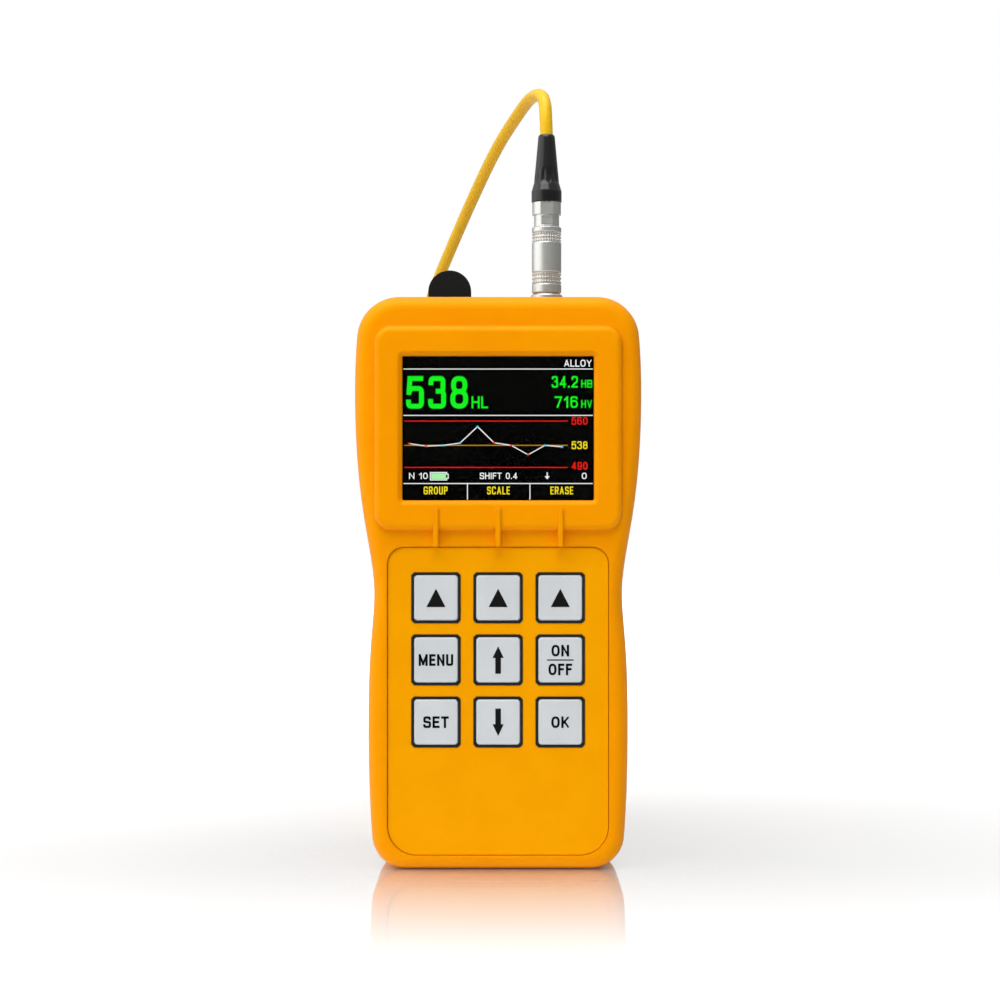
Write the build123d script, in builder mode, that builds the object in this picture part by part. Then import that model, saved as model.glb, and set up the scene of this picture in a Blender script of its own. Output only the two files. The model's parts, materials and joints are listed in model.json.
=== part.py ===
from build123d import *
import os
from math import cos, pi, radians, sin, tan

# Hand-held rebound hardness tester in a moulded jacket, with its probe cable plugged in.
# Millimetres, +Z up, front face towards -Y, standing on its flat bottom at z = 0.

# Jacket: widths of the front view at heights above the bottom
BODY_HEIGHT = 153.0
BODY_DEPTH = 37.0
SOLE_WIDTH = 65.8
FOOT_WIDTH = 69.5
FOOT_LEVEL = 38.0
HIP_WIDTH = 67.9
HIP_LEVEL = 62.0
WAIST_WIDTH = 66.4
WAIST_LEVEL = 74.0
SHOULDER_WIDTH = 71.6
SHOULDER_LEVEL = 93.0
HEAD_WIDTH = 76.6
HEAD_LEVEL = 121.5
CROWN_WIDTH = 72.8
BOTTOM_CORNER = 9.2
TOP_CORNER = 11.3
FRONT_ROUND = 3.6
BACK_ROUND = 5.0
JACKET_WALL = 2.0
INNER_BEVEL = 0.6

# Raised bezel round the screen, and the ribs that run down from it
BEZEL_WIDTH = 66.0
BEZEL_HEIGHT = 54.4
BEZEL_LEVEL = 117.7
BEZEL_CORNER = 4.7
BEZEL_ROUND = 1.7
BEZEL_PROUD = 2.1
BEZEL_LIP = 1.9
BEZEL_WALL = 2.0
SCREEN_WIDTH = 51.0
SCREEN_HEIGHT = 38.4
SCREEN_CORNER = 0.5
SCREEN_CHAMFER = 1.1
RIB_PITCH = 16.55
RIB_WIDTH = 1.5
RIB_PROUD = 0.4
RIB_TOP = 96.4
RIB_ROUND = 0.3

# Key window in the jacket, and the plate in it
KEY_WINDOW_WIDTH = 59.0
KEY_WINDOW_HEIGHT = 82.2
KEY_WINDOW_LEVEL = 45.0
KEY_WINDOW_TOP_CORNER = 4.6
KEY_WINDOW_BOTTOM_CORNER = 7.8
KEY_PLATE_SUNK = 0.4
KEY_PLATE_THICKNESS = 1.2

# Keys: three columns and three rows
KEY_PITCH = 16.55
KEY_LEVEL = 56.0
KEY_WIDTH = 11.6
KEY_HEIGHT = 12.0
KEY_CORNER = 0.9
KEY_EDGE = 0.25
KEY_PROUD = 0.25
KEY_TRAVEL = 0.6
KEY_GAP = 0.15
KEY_FLANGE = 0.6
FLANGE_THICKNESS = 0.7
FLANGE_PLAY = 0.25
STEM_DIAMETER = 5.0
FLANGE_REST = 0.1
RIM_CORNER = 1.3
RIM_THICKNESS = 0.6
RIM_PROUD = 0.15
RIM_GAP = 0.05
FRAME_MARGIN = 2.0
FRAME_THICKNESS = 2.2
FRAME_LEDGE = 0.6
DOME_DIAMETER = 8.0
DOME_RISE = 0.15
DOME_SHEET = 0.2
DOME_FREE = 0.05
DOME_SIDES = 8
DOME_TAPER = 60

# Hard case inside the jacket
CASE_GAP = 0.15
CASE_WALL = 2.2
CASE_POST_DIAMETER = 7.6
CASE_SCREW_X = (24.5, 26.4)
CASE_SCREW_FOOT = 9.0
CASE_SCREW_HEAD = 7.8
SEAL_WIDTH = 0.8
SEAL_HEIGHT = 1.0
SEAL_LIP = 0.7

# Screws: sizes, the length driven into what they hold, and the room round them. They stay hidden, so they and
# their posts and holes have few sides
POST_SIDES = 8
CASE_SCREW_DIAMETER = 2.9
CASE_SCREW_HEAD_DIAMETER = 5.0
CASE_SCREW_HEAD_HEIGHT = 2.4
CASE_SCREW_SEAT = 4.0
CASE_SCREW_GRIP = 8.0
BOARD_SCREW_DIAMETER = 1.9
BOARD_SCREW_HEAD_DIAMETER = 3.8
BOARD_SCREW_HEAD_HEIGHT = 1.4
BOARD_SCREW_GRIP = 2.6
KEY_SCREW_DIAMETER = 1.9
KEY_SCREW_HEAD_DIAMETER = 3.6
KEY_SCREW_HEAD_HEIGHT = 1.2
KEY_SCREW_GRIP = 1.4
SCREW_GAP = 0.05
SCREW_HEAD_GAP = 0.2
SCREW_HOLE_GAP = 0.15
SCREW_TIP_GAP = 0.2

# Display stack
SCREEN_BOSS_WALL = 1.2
LENS_LAP = 1.5
LENS_CORNER = 1.5
LENS_THICKNESS = 1.2
LENS_LEDGE = 0.8
DISPLAY_SIDE_GAP = 0.25
DISPLAY_END_GAP = 2.55
DISPLAY_THICKNESS = 2.4
DISPLAY_GLASS_BORDER = 1.4
DISPLAY_GLASS_STEP = 0.3
BRACKET_SIDE_GAP = 0.45
BRACKET_END_GAP = 0.45
BRACKET_THICKNESS = 1.0
BRACKET_RIM = 7.0

# Circuit boards and their screws
BOARD_THICKNESS = 1.6
KEY_BOARD_THICKNESS = 1.2
KEY_BOARD_MARGIN = 3.0
KEY_BOARD_SCREW_INSET = 2.0
BOARD_FRONT_Y = -8.2
BOARD_SIDE_GAP = 3.45
BOARD_TOP_GAP = 2.0
BOARD_BOTTOM = 86.4
BOARD_SHOULDER = 12.0
BOARD_HEAD_WIDTH = 42.0
BOARD_POST_DIAMETER = 4.5
BOARD_SCREW_LOW = (24.0, 88.8)
BOARD_SCREW_HIGH_X = 18.0
BOARD_SCREW_HIGH_DOWN = 8.3
BUZZER_PLACE = (-17.0, 2.0)
BUZZER_DIAMETER = 12.0
BUZZER_HEIGHT = 3.5
BUZZER_HOLE_DIAMETER = 2.0
BUZZER_HOLE_DEPTH = 1.0

# Parts soldered on the boards: width, height, thickness, and place from the keys' or the screen's middle
KEY_BOARD_PARTS = ((22.0, 5.0, 3.2, 0.0, 22.0), (9.0, 7.0, 1.2, -10.0, 0.0), (5.0, 6.0, 1.5, 12.0, -8.0))
MAIN_BOARD_PARTS = ((16.0, 16.0, 1.4, 10.0, 4.0), (10.0, 10.0, 1.0, 10.0, -14.0), (8.0, 5.0, 1.6, -6.0, -16.0))
DISPLAY_CONNECTOR = (24.0, 4.4, 1.2, 0.0, -25.0)

# End panel in the top of the jacket, with the probe socket and the port
END_PANEL_WIDTH = 42.0
END_PANEL_DEPTH = 22.0
END_PANEL_CORNER = 3.0
END_PANEL_PROUD = 0.0
END_PANEL_EDGE = 0.3
END_PANEL_FLANGE = 1.2
END_PANEL_FLANGE_THICKNESS = 1.5
CONNECTOR_OFFSET = 13.3
SOCKET_RING_DIAMETER = 8.8
SOCKET_RING_HEIGHT = 2.0
SOCKET_BARREL_DIAMETER = 7.5
SOCKET_BARREL_LENGTH = 12.8
SOCKET_NUT_ACROSS = 10.0
SOCKET_NUT_HEIGHT = 2.1
SOCKET_EDGE = 0.4
SOCKET_STEP = 0.5
SOCKET_PLAY = 0.1
STUB_GAP = 0.2
STUB_HEIGHT = 4.4
TAIL_LENGTH = 2.0
FIT_GAP = 0.05
PORT_WIDTH = 8.9
PORT_HEIGHT = 3.2
PORT_SHELL = 0.3
PORT_DEPTH = 6.7
PORT_SUNK = 0.9
PORT_TONGUE_WIDTH = 6.6
PORT_TONGUE_HEIGHT = 0.7
PORT_TONGUE_SUNK = 0.8
PORT_TONGUE_GAP = 0.25
PORT_FLANGE = 1.8
PORT_FLOOR = 1.0
PORT_GAP = 0.1
COVER_PLATE_DEPTH = 6.4
COVER_PLATE_CORNER = 2.6
COVER_PLATE_THICKNESS = 0.8
COVER_TAB_WIDTH = 11.8
COVER_TAB_HEIGHT = 8.6
COVER_TAB_THICKNESS = 1.8
COVER_PRONG_LENGTH = 3.5

# Battery bay: two cells side by side behind a hinged door
CELL_DIAMETER = 14.5
CELL_LENGTH = 50.5
CELL_NUB_DIAMETER = 5.5
CELL_NUB_LENGTH = 1.3
CELL_GAP = 0.8
BAY_BOTTOM = 14.6
BAY_SPRING = 5.1
BAY_WALL = 1.4
BAY_PLAY = 0.3
CONTACT_THICKNESS = 0.5
CONTACT_MARGIN = 0.5
CONTACT_SIDE_MARGIN = 1.5
LEAF_WIDTH = 6.0
LEAF_ROOT = 5.0
LEAF_BEND = -1.4
LEAF_END = -4.0
LEAF_SKEW = 0.6
DOOR_OVERLAP = 2.0
DOOR_THICKNESS = 1.5
DOOR_CORNER = 1.5
DOOR_SUNK = 0.6
DOOR_WINDOW_GAP = 0.5
DOOR_WINDOW_CORNER = 1.0
NOTCH_WIDTH = 15.0
NOTCH_HEIGHT = 7.0
NOTCH_CORNER = 3.4
LATCH_WIDTH = 8.0
LATCH_THICKNESS = 1.2
LATCH_REACH = 1.4
RIDGE_WIDTH = 12.0
RIDGE_THICKNESS = 0.8
RIDGE_PROUD = 0.4
RIDGE_ROOT = 0.2
RIDGE_PITCH = 2.0
RIDGE_START = 3.0
RIDGE_COUNT = 3
HINGE_RADIUS = 1.0
HINGE_PIN_RADIUS = 0.5
HINGE_PIN_LENGTH = 1.8
HINGE_GAP = 0.3
EAR_WIDTH = 2.1
EAR_MARGIN = 0.6

# Push-pull plug, stations measured along its axis from the nose tip
NOSE_DIAMETER = 5.9
NOSE_LENGTH = 12.0
NOSE_WALL = 0.55
NOSE_FLOOR = 7.0
NOSE_EDGE = 0.3
GROOVE_START = 7.6
GROOVE_LENGTH = 2.0
GROOVE_DEPTH = 0.4
CORE_DIAMETER = 6.2
SLEEVE_DIAMETER = 8.1
SLEEVE_LENGTH = 18.2
SLEEVE_TRAVEL = 2.0
SLEEVE_GAP = 0.2
SLEEVE_SPARE = 0.3
NECK_DIAMETER = 6.9
NECK_FLATS = 6.2
NECK_SHOWN = 3.3
NECK_FLAT_MARGIN = 0.4
SPIGOT_DIAMETER = 5.5
NUT_DIAMETER = 7.9
NUT_FLATS = 7.1
NUT_LENGTH = 3.4
NUT_FLOOR = 0.3
COLLAR_DIAMETER = 6.4
COLLAR_LENGTH = 3.0
RELIEF_SKIRT_DIAMETER = 8.3
RELIEF_SKIRT_LENGTH = 3.3
RELIEF_WAIST_DIAMETER = 6.9
RELIEF_SHOULDER_LENGTH = 2.1
RELIEF_TIP_DIAMETER = 4.5
RELIEF_LENGTH = 18.6
RELIEF_FLOOR_GAP = 0.2
PLUG_STANDOFF = 0.3
PIN_CIRCLE_DIAMETER = 2.6
PIN_DIAMETER = 0.8
PIN_GAP = 0.15
PIN_TIP = 1.0
PIN_FACE = 5.0
PIN_COUNT = 4
PIN_SIDES = 6

# Probe cable: where it lies free its points are chosen by hand
CABLE_DIAMETER = 3.5
ARC_SHARE = 0.45
CABLE_FALL = (
    (13.3, 1.25, 203.2),
    (12.5, 3.6, 208.8),
    (10.6, 8.4, 212.1),
    (7.8, 15.2, 212.2),
    (4.4, 23.4, 208.6),
    (-0.9, 35.8, 201.6),
    (-7.2, 50.3, 191.0),
    (-13.6, 64.6, 178.6),
    (-21.0, 79.5, 163.0),
    (-27.4, 91.0, 141.5),
    (-31.8, 98.4, 113.4),
    (-34.0, 101.9, 80.2),
    (-34.5, 102.3, 48.4),
    (-34.5, 98.9, 24.2),
    (-34.4, 89.6, 8.6),
    (-34.3, 76.6, 1.9),
    (-34.25, 63.4, 2.45),
)
RISE_POINT_COUNT = 6
CABLE_LEAD = (
    (3.4, 25.7, 5.9),
    (11.6, 26.0, 5.2),
    (19.3, 28.6, 4.6),
    (24.0, 35.2, 4.15),
    (24.0, 43.5, 4.15),
)
COIL_CENTRE = (-10.0, 50.0)
COIL_MIDDLE_DIAMETER = 38.0
COIL_TURNS_WIDE = 4
COIL_TURNS_HIGH = 2
COIL_BEVEL = 1.0
TIE_WIDTH = 8.0
TIE_THICKNESS = 0.6
TIE_GAP = 0.1
TIE_ANGLE = 45.0

# Depths, from the ribs at the front to the back
BACK_Y = BODY_DEPTH / 2
BEZEL_Y = RIB_PROUD - BODY_DEPTH / 2
FACE_Y = BEZEL_Y + BEZEL_PROUD
MIDDLE_Y = (FACE_Y + BACK_Y) / 2
CAVITY_FRONT_Y = FACE_Y + JACKET_WALL
CAVITY_BACK_Y = BACK_Y - JACKET_WALL
CASE_INSET = JACKET_WALL + CASE_GAP
CASE_FRONT_Y = FACE_Y + CASE_INSET
CASE_BACK_Y = BACK_Y - CASE_INSET
INNER_INSET = CASE_INSET + CASE_WALL
INNER_FRONT_Y = FACE_Y + INNER_INSET
INNER_BACK_Y = BACK_Y - INNER_INSET

# Depths of the display stack
LIP_BACK_Y = BEZEL_Y + BEZEL_LIP
BOSS_FRONT_Y = LIP_BACK_Y + CASE_GAP
LENS_BACK_Y = BOSS_FRONT_Y + LENS_THICKNESS
DISPLAY_FRONT_Y = LENS_BACK_Y + LENS_LEDGE
DISPLAY_BACK_Y = DISPLAY_FRONT_Y + DISPLAY_THICKNESS
BRACKET_FRONT_Y = max(DISPLAY_BACK_Y, INNER_FRONT_Y)

# Widths and heights of the display stack
BOSS_WIDTH = BEZEL_WIDTH - 2 * (BEZEL_WALL + CASE_GAP)
BOSS_HEIGHT = BEZEL_HEIGHT - 2 * (BEZEL_WALL + CASE_GAP)
BOSS_CORNER = BEZEL_CORNER - BEZEL_WALL - CASE_GAP
LENS_WIDTH = SCREEN_WIDTH + 2 * LENS_LAP
LENS_HEIGHT = SCREEN_HEIGHT + 2 * LENS_LAP
DISPLAY_WIDTH = BOSS_WIDTH - 2 * (SCREEN_BOSS_WALL + DISPLAY_SIDE_GAP)
DISPLAY_HEIGHT = BOSS_HEIGHT - 2 * (SCREEN_BOSS_WALL + DISPLAY_END_GAP)
BRACKET_WIDTH = min(HEAD_WIDTH, SHOULDER_WIDTH) - 2 * (INNER_INSET + BRACKET_SIDE_GAP)
BRACKET_HEIGHT = BOSS_HEIGHT - 2 * (SCREEN_BOSS_WALL + BRACKET_END_GAP)

# Depths of the key stack
KEY_PLATE_Y = FACE_Y + KEY_PLATE_SUNK
KEY_PLATE_BACK_Y = KEY_PLATE_Y + KEY_PLATE_THICKNESS
RIM_Y = KEY_PLATE_Y - RIM_PROUD
KEY_FACE_Y = RIM_Y - KEY_PROUD
FRAME_BACK_Y = KEY_PLATE_BACK_Y + FRAME_THICKNESS
POCKET_FRONT_Y = KEY_PLATE_BACK_Y + FRAME_LEDGE
FLANGE_FRONT_Y = POCKET_FRONT_Y + FLANGE_REST
FLANGE_BACK_Y = FLANGE_FRONT_Y + FLANGE_THICKNESS
DOME_TOP_Y = INNER_FRONT_Y - DOME_SHEET - DOME_RISE
STEM_BACK_Y = DOME_TOP_Y - DOME_FREE - KEY_TRAVEL
KEY_BOARD_BACK_Y = INNER_FRONT_Y + KEY_BOARD_THICKNESS
RIM_WIDTH = KEY_WIDTH + 2 * (KEY_GAP + RIM_THICKNESS)
RIM_HEIGHT = KEY_HEIGHT + 2 * (KEY_GAP + RIM_THICKNESS)
FRAME_WIDTH = 2 * (KEY_PITCH + FRAME_MARGIN) + RIM_WIDTH
FRAME_HEIGHT = 2 * (KEY_PITCH + FRAME_MARGIN) + RIM_HEIGHT
KEY_BOARD_WIDTH = FRAME_WIDTH + 2 * KEY_BOARD_MARGIN
KEY_BOARD_HEIGHT = FRAME_HEIGHT + 2 * KEY_BOARD_MARGIN

# Heights at the top of the housing
CASE_TOP = BODY_HEIGHT - CASE_INSET
INNER_TOP = BODY_HEIGHT - INNER_INSET
END_PANEL_TOP = BODY_HEIGHT + END_PANEL_PROUD
END_PANEL_BOTTOM = INNER_TOP - END_PANEL_FLANGE_THICKNESS
SOCKET_TOP = END_PANEL_TOP + SOCKET_RING_HEIGHT
SOCKET_BOTTOM = END_PANEL_TOP - SOCKET_BARREL_LENGTH
PORT_TOP = END_PANEL_TOP - PORT_SUNK
NOSE_TIP = SOCKET_TOP - NOSE_LENGTH
SOCKET_BORE = NOSE_DIAMETER / 2 + SOCKET_PLAY
SOCKET_FLOOR = NOSE_TIP - SOCKET_STEP
NOSE_BORE = NOSE_DIAMETER / 2 - NOSE_WALL
BOARD_WIDTH = SHOULDER_WIDTH - 2 * (INNER_INSET + BOARD_SIDE_GAP)
BOARD_TOP = INNER_TOP - BOARD_TOP_GAP
BOARD_BACK_Y = BOARD_FRONT_Y + BOARD_THICKNESS

# Battery bay
BAY_LENGTH = CELL_LENGTH + BAY_SPRING + 2 * CONTACT_THICKNESS
BAY_TOP = BAY_BOTTOM + BAY_LENGTH
BAY_WIDTH = 2 * CELL_DIAMETER + CELL_GAP + 2 * BAY_PLAY
DOOR_WIDTH = BAY_WIDTH + 2 * DOOR_OVERLAP
DOOR_BOTTOM = BAY_BOTTOM - DOOR_OVERLAP
DOOR_FACE_Y = BACK_Y - DOOR_SUNK
DOOR_BACK_Y = DOOR_FACE_Y - DOOR_THICKNESS
HINGE_Y = DOOR_FACE_Y - HINGE_RADIUS
HINGE_LEVEL = BAY_TOP + DOOR_OVERLAP + HINGE_RADIUS
CELL_X = (CELL_DIAMETER + CELL_GAP) / 2
CELL_Y = DOOR_BACK_Y - BAY_PLAY - CELL_DIAMETER / 2
BAY_FLOOR_Y = CELL_Y - CELL_DIAMETER / 2 - BAY_PLAY
BAY_MIDDLE = (BAY_BOTTOM + BAY_TOP) / 2
EAR_X = DOOR_WIDTH / 2 + HINGE_GAP + EAR_WIDTH / 2

# Stations along the push-pull plug, from its nose tip
CORE_START = NOSE_LENGTH + PLUG_STANDOFF
SLEEVE_END = CORE_START + SLEEVE_LENGTH
SLEEVE_STEP = SLEEVE_END - 2 * SLEEVE_TRAVEL - SLEEVE_SPARE
NECK_START = SLEEVE_STEP + SLEEVE_TRAVEL + SLEEVE_SPARE
NECK_END = SLEEVE_END + NECK_SHOWN
NUT_END = NECK_END + NUT_LENGTH
COLLAR_END = NUT_END + COLLAR_LENGTH
RELIEF_END = NUT_END + RELIEF_LENGTH

# Screw places, seen from the front as (x, z)
CASE_SCREWS = [
    (side * x, z)
    for side in (-1, 1)
    for x, z in ((CASE_SCREW_X[0], CASE_SCREW_FOOT), (CASE_SCREW_X[1], BODY_HEIGHT - CASE_SCREW_HEAD))
]
BOARD_SCREWS = [
    (side * x, z)
    for side in (-1, 1)
    for x, z in (BOARD_SCREW_LOW, (BOARD_SCREW_HIGH_X, BODY_HEIGHT - BOARD_SCREW_HIGH_DOWN))
]
KEY_BOARD_SCREWS = [
    (
        across * (KEY_BOARD_WIDTH / 2 - KEY_BOARD_SCREW_INSET),
        KEY_LEVEL + up * (KEY_BOARD_HEIGHT / 2 - KEY_BOARD_SCREW_INSET),
    )
    for across in (-1, 1)
    for up in (-1, 1)
]
KEY_NAMES = (
    ("key_soft_left", "key_soft_centre", "key_soft_right"),
    ("key_menu", "key_up", "key_on_off"),
    ("key_set", "key_down", "key_enter"),
)

os.makedirs("parts", exist_ok=True)
pieces = {}


def keep(name, part):
    """Label a finished piece and put it on the list to write."""
    part.label = name
    pieces[name] = part


def facing(y):
    """Plane at depth y, looking out of the front: local X is X, local Y is Z."""
    return Plane.XZ.offset(-y)


def axis_plane(x, y, station, up=1):
    """Plane for a turned piece that stands on Z: its Y direction points up, or down for up = -1."""
    return Plane(origin=(x, y, station), x_dir=(1, 0, 0), z_dir=(0, -up, 0))


def slab(width, height, corner, front, back, x=0.0, z=0.0):
    """Upright plate with rounded corners between two depths."""
    with BuildPart() as plate:
        with BuildSketch(facing(back)):
            with Locations((x, z)):
                if corner > 0:
                    RectangleRounded(width, height, corner)
                else:
                    Rectangle(width, height)
        extrude(amount=back - front)
    return plate.part


def tile(width, depth, corner, bottom, top, x=0.0, y=0.0):
    """Level plate with rounded corners between two heights."""
    with BuildPart() as plate:
        with BuildSketch(Plane.XY.offset(bottom)):
            with Locations((x, y)):
                if corner > 0:
                    RectangleRounded(width, depth, corner)
                else:
                    Rectangle(width, depth)
        extrude(amount=top - bottom)
    return plate.part


def posts(places, diameter, front, back, sides=POST_SIDES):
    """Posts along Y between two depths, one at each (x, z): round, or with few sides where they stay hidden."""
    with BuildPart() as group:
        with BuildSketch(facing(back)):
            with Locations(*places):
                if sides > 0:
                    RegularPolygon(diameter / 2, sides)
                else:
                    Circle(diameter / 2)
        extrude(amount=back - front)
    return group.part


def turned(outline, plane):
    """Turned solid about the plane's Y direction; outline is (radius, station) pairs."""
    with BuildPart() as lathe:
        with BuildSketch(plane):
            with BuildLine():
                Polyline(*outline, close=True)
            make_face()
        revolve(axis=Axis(plane.origin, plane.y_dir))
    return lathe.part


def housing_block(inset, front, back, front_round=0.0, back_round=0.0):
    """Solid with the jacket's waisted outline, drawn inset mm inside it, between two depths.

    The jacket itself is curved, with rounded corners and edges. A block inside it runs straight from level to
    level, and its corners and edges are flats that lie along those rounds."""
    hidden = inset > 0
    stations = [
        (SOLE_WIDTH / 2 - inset, inset),
        (FOOT_WIDTH / 2 - inset, FOOT_LEVEL),
        (HIP_WIDTH / 2 - inset, HIP_LEVEL),
        (WAIST_WIDTH / 2 - inset, WAIST_LEVEL),
        (SHOULDER_WIDTH / 2 - inset, SHOULDER_LEVEL),
        (HEAD_WIDTH / 2 - inset, HEAD_LEVEL),
        (CROWN_WIDTH / 2 - inset, BODY_HEIGHT - inset),
    ]
    with BuildPart() as block:
        with BuildSketch(facing(back)):
            with BuildLine():
                right = Polyline(*stations) if hidden else Spline(*stations)
                left = mirror(right, about=Plane.YZ)
                Line(right @ 0, left @ 0)
                Line(right @ 1, left @ 1)
            make_face()
        extrude(amount=back - front)
        for end, corner in ((0, BOTTOM_CORNER), (-1, TOP_CORNER)):
            edges = block.edges().filter_by(Axis.Y).group_by(Axis.Z)[end]
            if hidden:
                chamfer(edges, INNER_BEVEL * (corner - inset))
            else:
                fillet(edges, corner)
        for end, edge_round in ((0, front_round), (-1, back_round)):
            if edge_round > inset:
                edges = block.faces().sort_by(Axis.Y)[end].edges()
                if hidden:
                    chamfer(edges, INNER_BEVEL * (edge_round - inset))
                else:
                    fillet(edges, edge_round)
    return block.part


def key_window_block(gap, front, back):
    """Plate with the key window's outline, gap mm smaller all round."""
    with BuildPart() as plate:
        with BuildSketch(facing(back)) as shape:
            with Locations((0, KEY_WINDOW_LEVEL)):
                Rectangle(KEY_WINDOW_WIDTH - 2 * gap, KEY_WINDOW_HEIGHT - 2 * gap)
            fillet(shape.vertices().group_by(Axis.Y)[0], KEY_WINDOW_BOTTOM_CORNER - gap)
            fillet(shape.vertices().group_by(Axis.Y)[-1], KEY_WINDOW_TOP_CORNER - gap)
        extrude(amount=back - front)
    return plate.part


def key_grid(width, height, front, back, corner_round=0.0, corner_flat=0.0):
    """Nine blocks at the places of the keys, with rounded, flattened or square corners."""
    with BuildPart() as grid:
        with BuildSketch(facing(back)) as shape:
            with Locations((0, KEY_LEVEL)):
                with GridLocations(KEY_PITCH, KEY_PITCH, 3, 3):
                    Rectangle(width, height)
            if corner_round > 0:
                fillet(shape.vertices(), corner_round)
            if corner_flat > 0:
                chamfer(shape.vertices(), corner_flat)
        extrude(amount=back - front)
    return grid.part


def end_opening(gap, bottom, top):
    """Block with the end panel's outline, gap mm larger all round."""
    corner = END_PANEL_CORNER + gap
    return tile(END_PANEL_WIDTH + 2 * gap, END_PANEL_DEPTH + 2 * gap, corner, bottom, top, 0, MIDDLE_Y)


# Jacket: one waisted moulding with a raised bezel, ribs, and windows front, top and back
with BuildPart() as boot:
    add(housing_block(0.0, FACE_Y, BACK_Y, FRONT_ROUND, BACK_ROUND))
    add(slab(BEZEL_WIDTH, BEZEL_HEIGHT, BEZEL_CORNER, BEZEL_Y, FACE_Y + JACKET_WALL / 2, z=BEZEL_LEVEL))
    fillet(boot.faces().sort_by(Axis.Y)[0].edges(), BEZEL_ROUND)
    add(
        slab(SCREEN_WIDTH, SCREEN_HEIGHT, SCREEN_CORNER, BEZEL_Y, CAVITY_FRONT_Y, z=BEZEL_LEVEL),
        mode=Mode.SUBTRACT,
    )
    chamfer(boot.faces().sort_by(Axis.Y)[0].inner_wires()[0].edges(), SCREEN_CHAMFER)
    rib_bottom = KEY_WINDOW_LEVEL + KEY_WINDOW_HEIGHT / 2
    for column in (-1, 0, 1):
        add(
            slab(
                RIB_WIDTH,
                RIB_TOP - rib_bottom,
                RIB_ROUND,
                -BODY_DEPTH / 2,
                FACE_Y + JACKET_WALL / 2,
                x=column * RIB_PITCH,
                z=(RIB_TOP + rib_bottom) / 2,
            )
        )
    add(
        housing_block(JACKET_WALL, CAVITY_FRONT_Y, CAVITY_BACK_Y, FRONT_ROUND, BACK_ROUND),
        mode=Mode.SUBTRACT,
    )
    add(
        slab(
            BEZEL_WIDTH - 2 * BEZEL_WALL,
            BEZEL_HEIGHT - 2 * BEZEL_WALL,
            BEZEL_CORNER - BEZEL_WALL,
            LIP_BACK_Y,
            CAVITY_FRONT_Y,
            z=BEZEL_LEVEL,
        ),
        mode=Mode.SUBTRACT,
    )
    add(key_window_block(0.0, FACE_Y, CAVITY_FRONT_Y), mode=Mode.SUBTRACT)
    add(end_opening(CASE_GAP, BODY_HEIGHT - JACKET_WALL, BODY_HEIGHT), mode=Mode.SUBTRACT)
    door_height = HINGE_LEVEL - DOOR_BOTTOM
    hinge_room = 2 * (HINGE_RADIUS + DOOR_SUNK + DOOR_WINDOW_GAP)
    add(
        slab(
            DOOR_WIDTH + 2 * DOOR_WINDOW_GAP,
            door_height + hinge_room / 2 + DOOR_WINDOW_GAP,
            DOOR_WINDOW_CORNER,
            CAVITY_BACK_Y,
            BACK_Y,
            z=(DOOR_BOTTOM - DOOR_WINDOW_GAP + HINGE_LEVEL + hinge_room / 2) / 2,
        ),
        mode=Mode.SUBTRACT,
    )
    add(
        slab(
            2 * EAR_X + EAR_WIDTH + 2 * DOOR_WINDOW_GAP,
            hinge_room,
            DOOR_WINDOW_CORNER,
            CAVITY_BACK_Y,
            BACK_Y,
            z=HINGE_LEVEL,
        ),
        mode=Mode.SUBTRACT,
    )
    notch_level = DOOR_BOTTOM - DOOR_WINDOW_GAP
    add(
        slab(NOTCH_WIDTH, NOTCH_HEIGHT, NOTCH_CORNER, CAVITY_BACK_Y, BACK_Y, z=notch_level),
        mode=Mode.SUBTRACT,
    )
keep("boot", boot.part)

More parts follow.
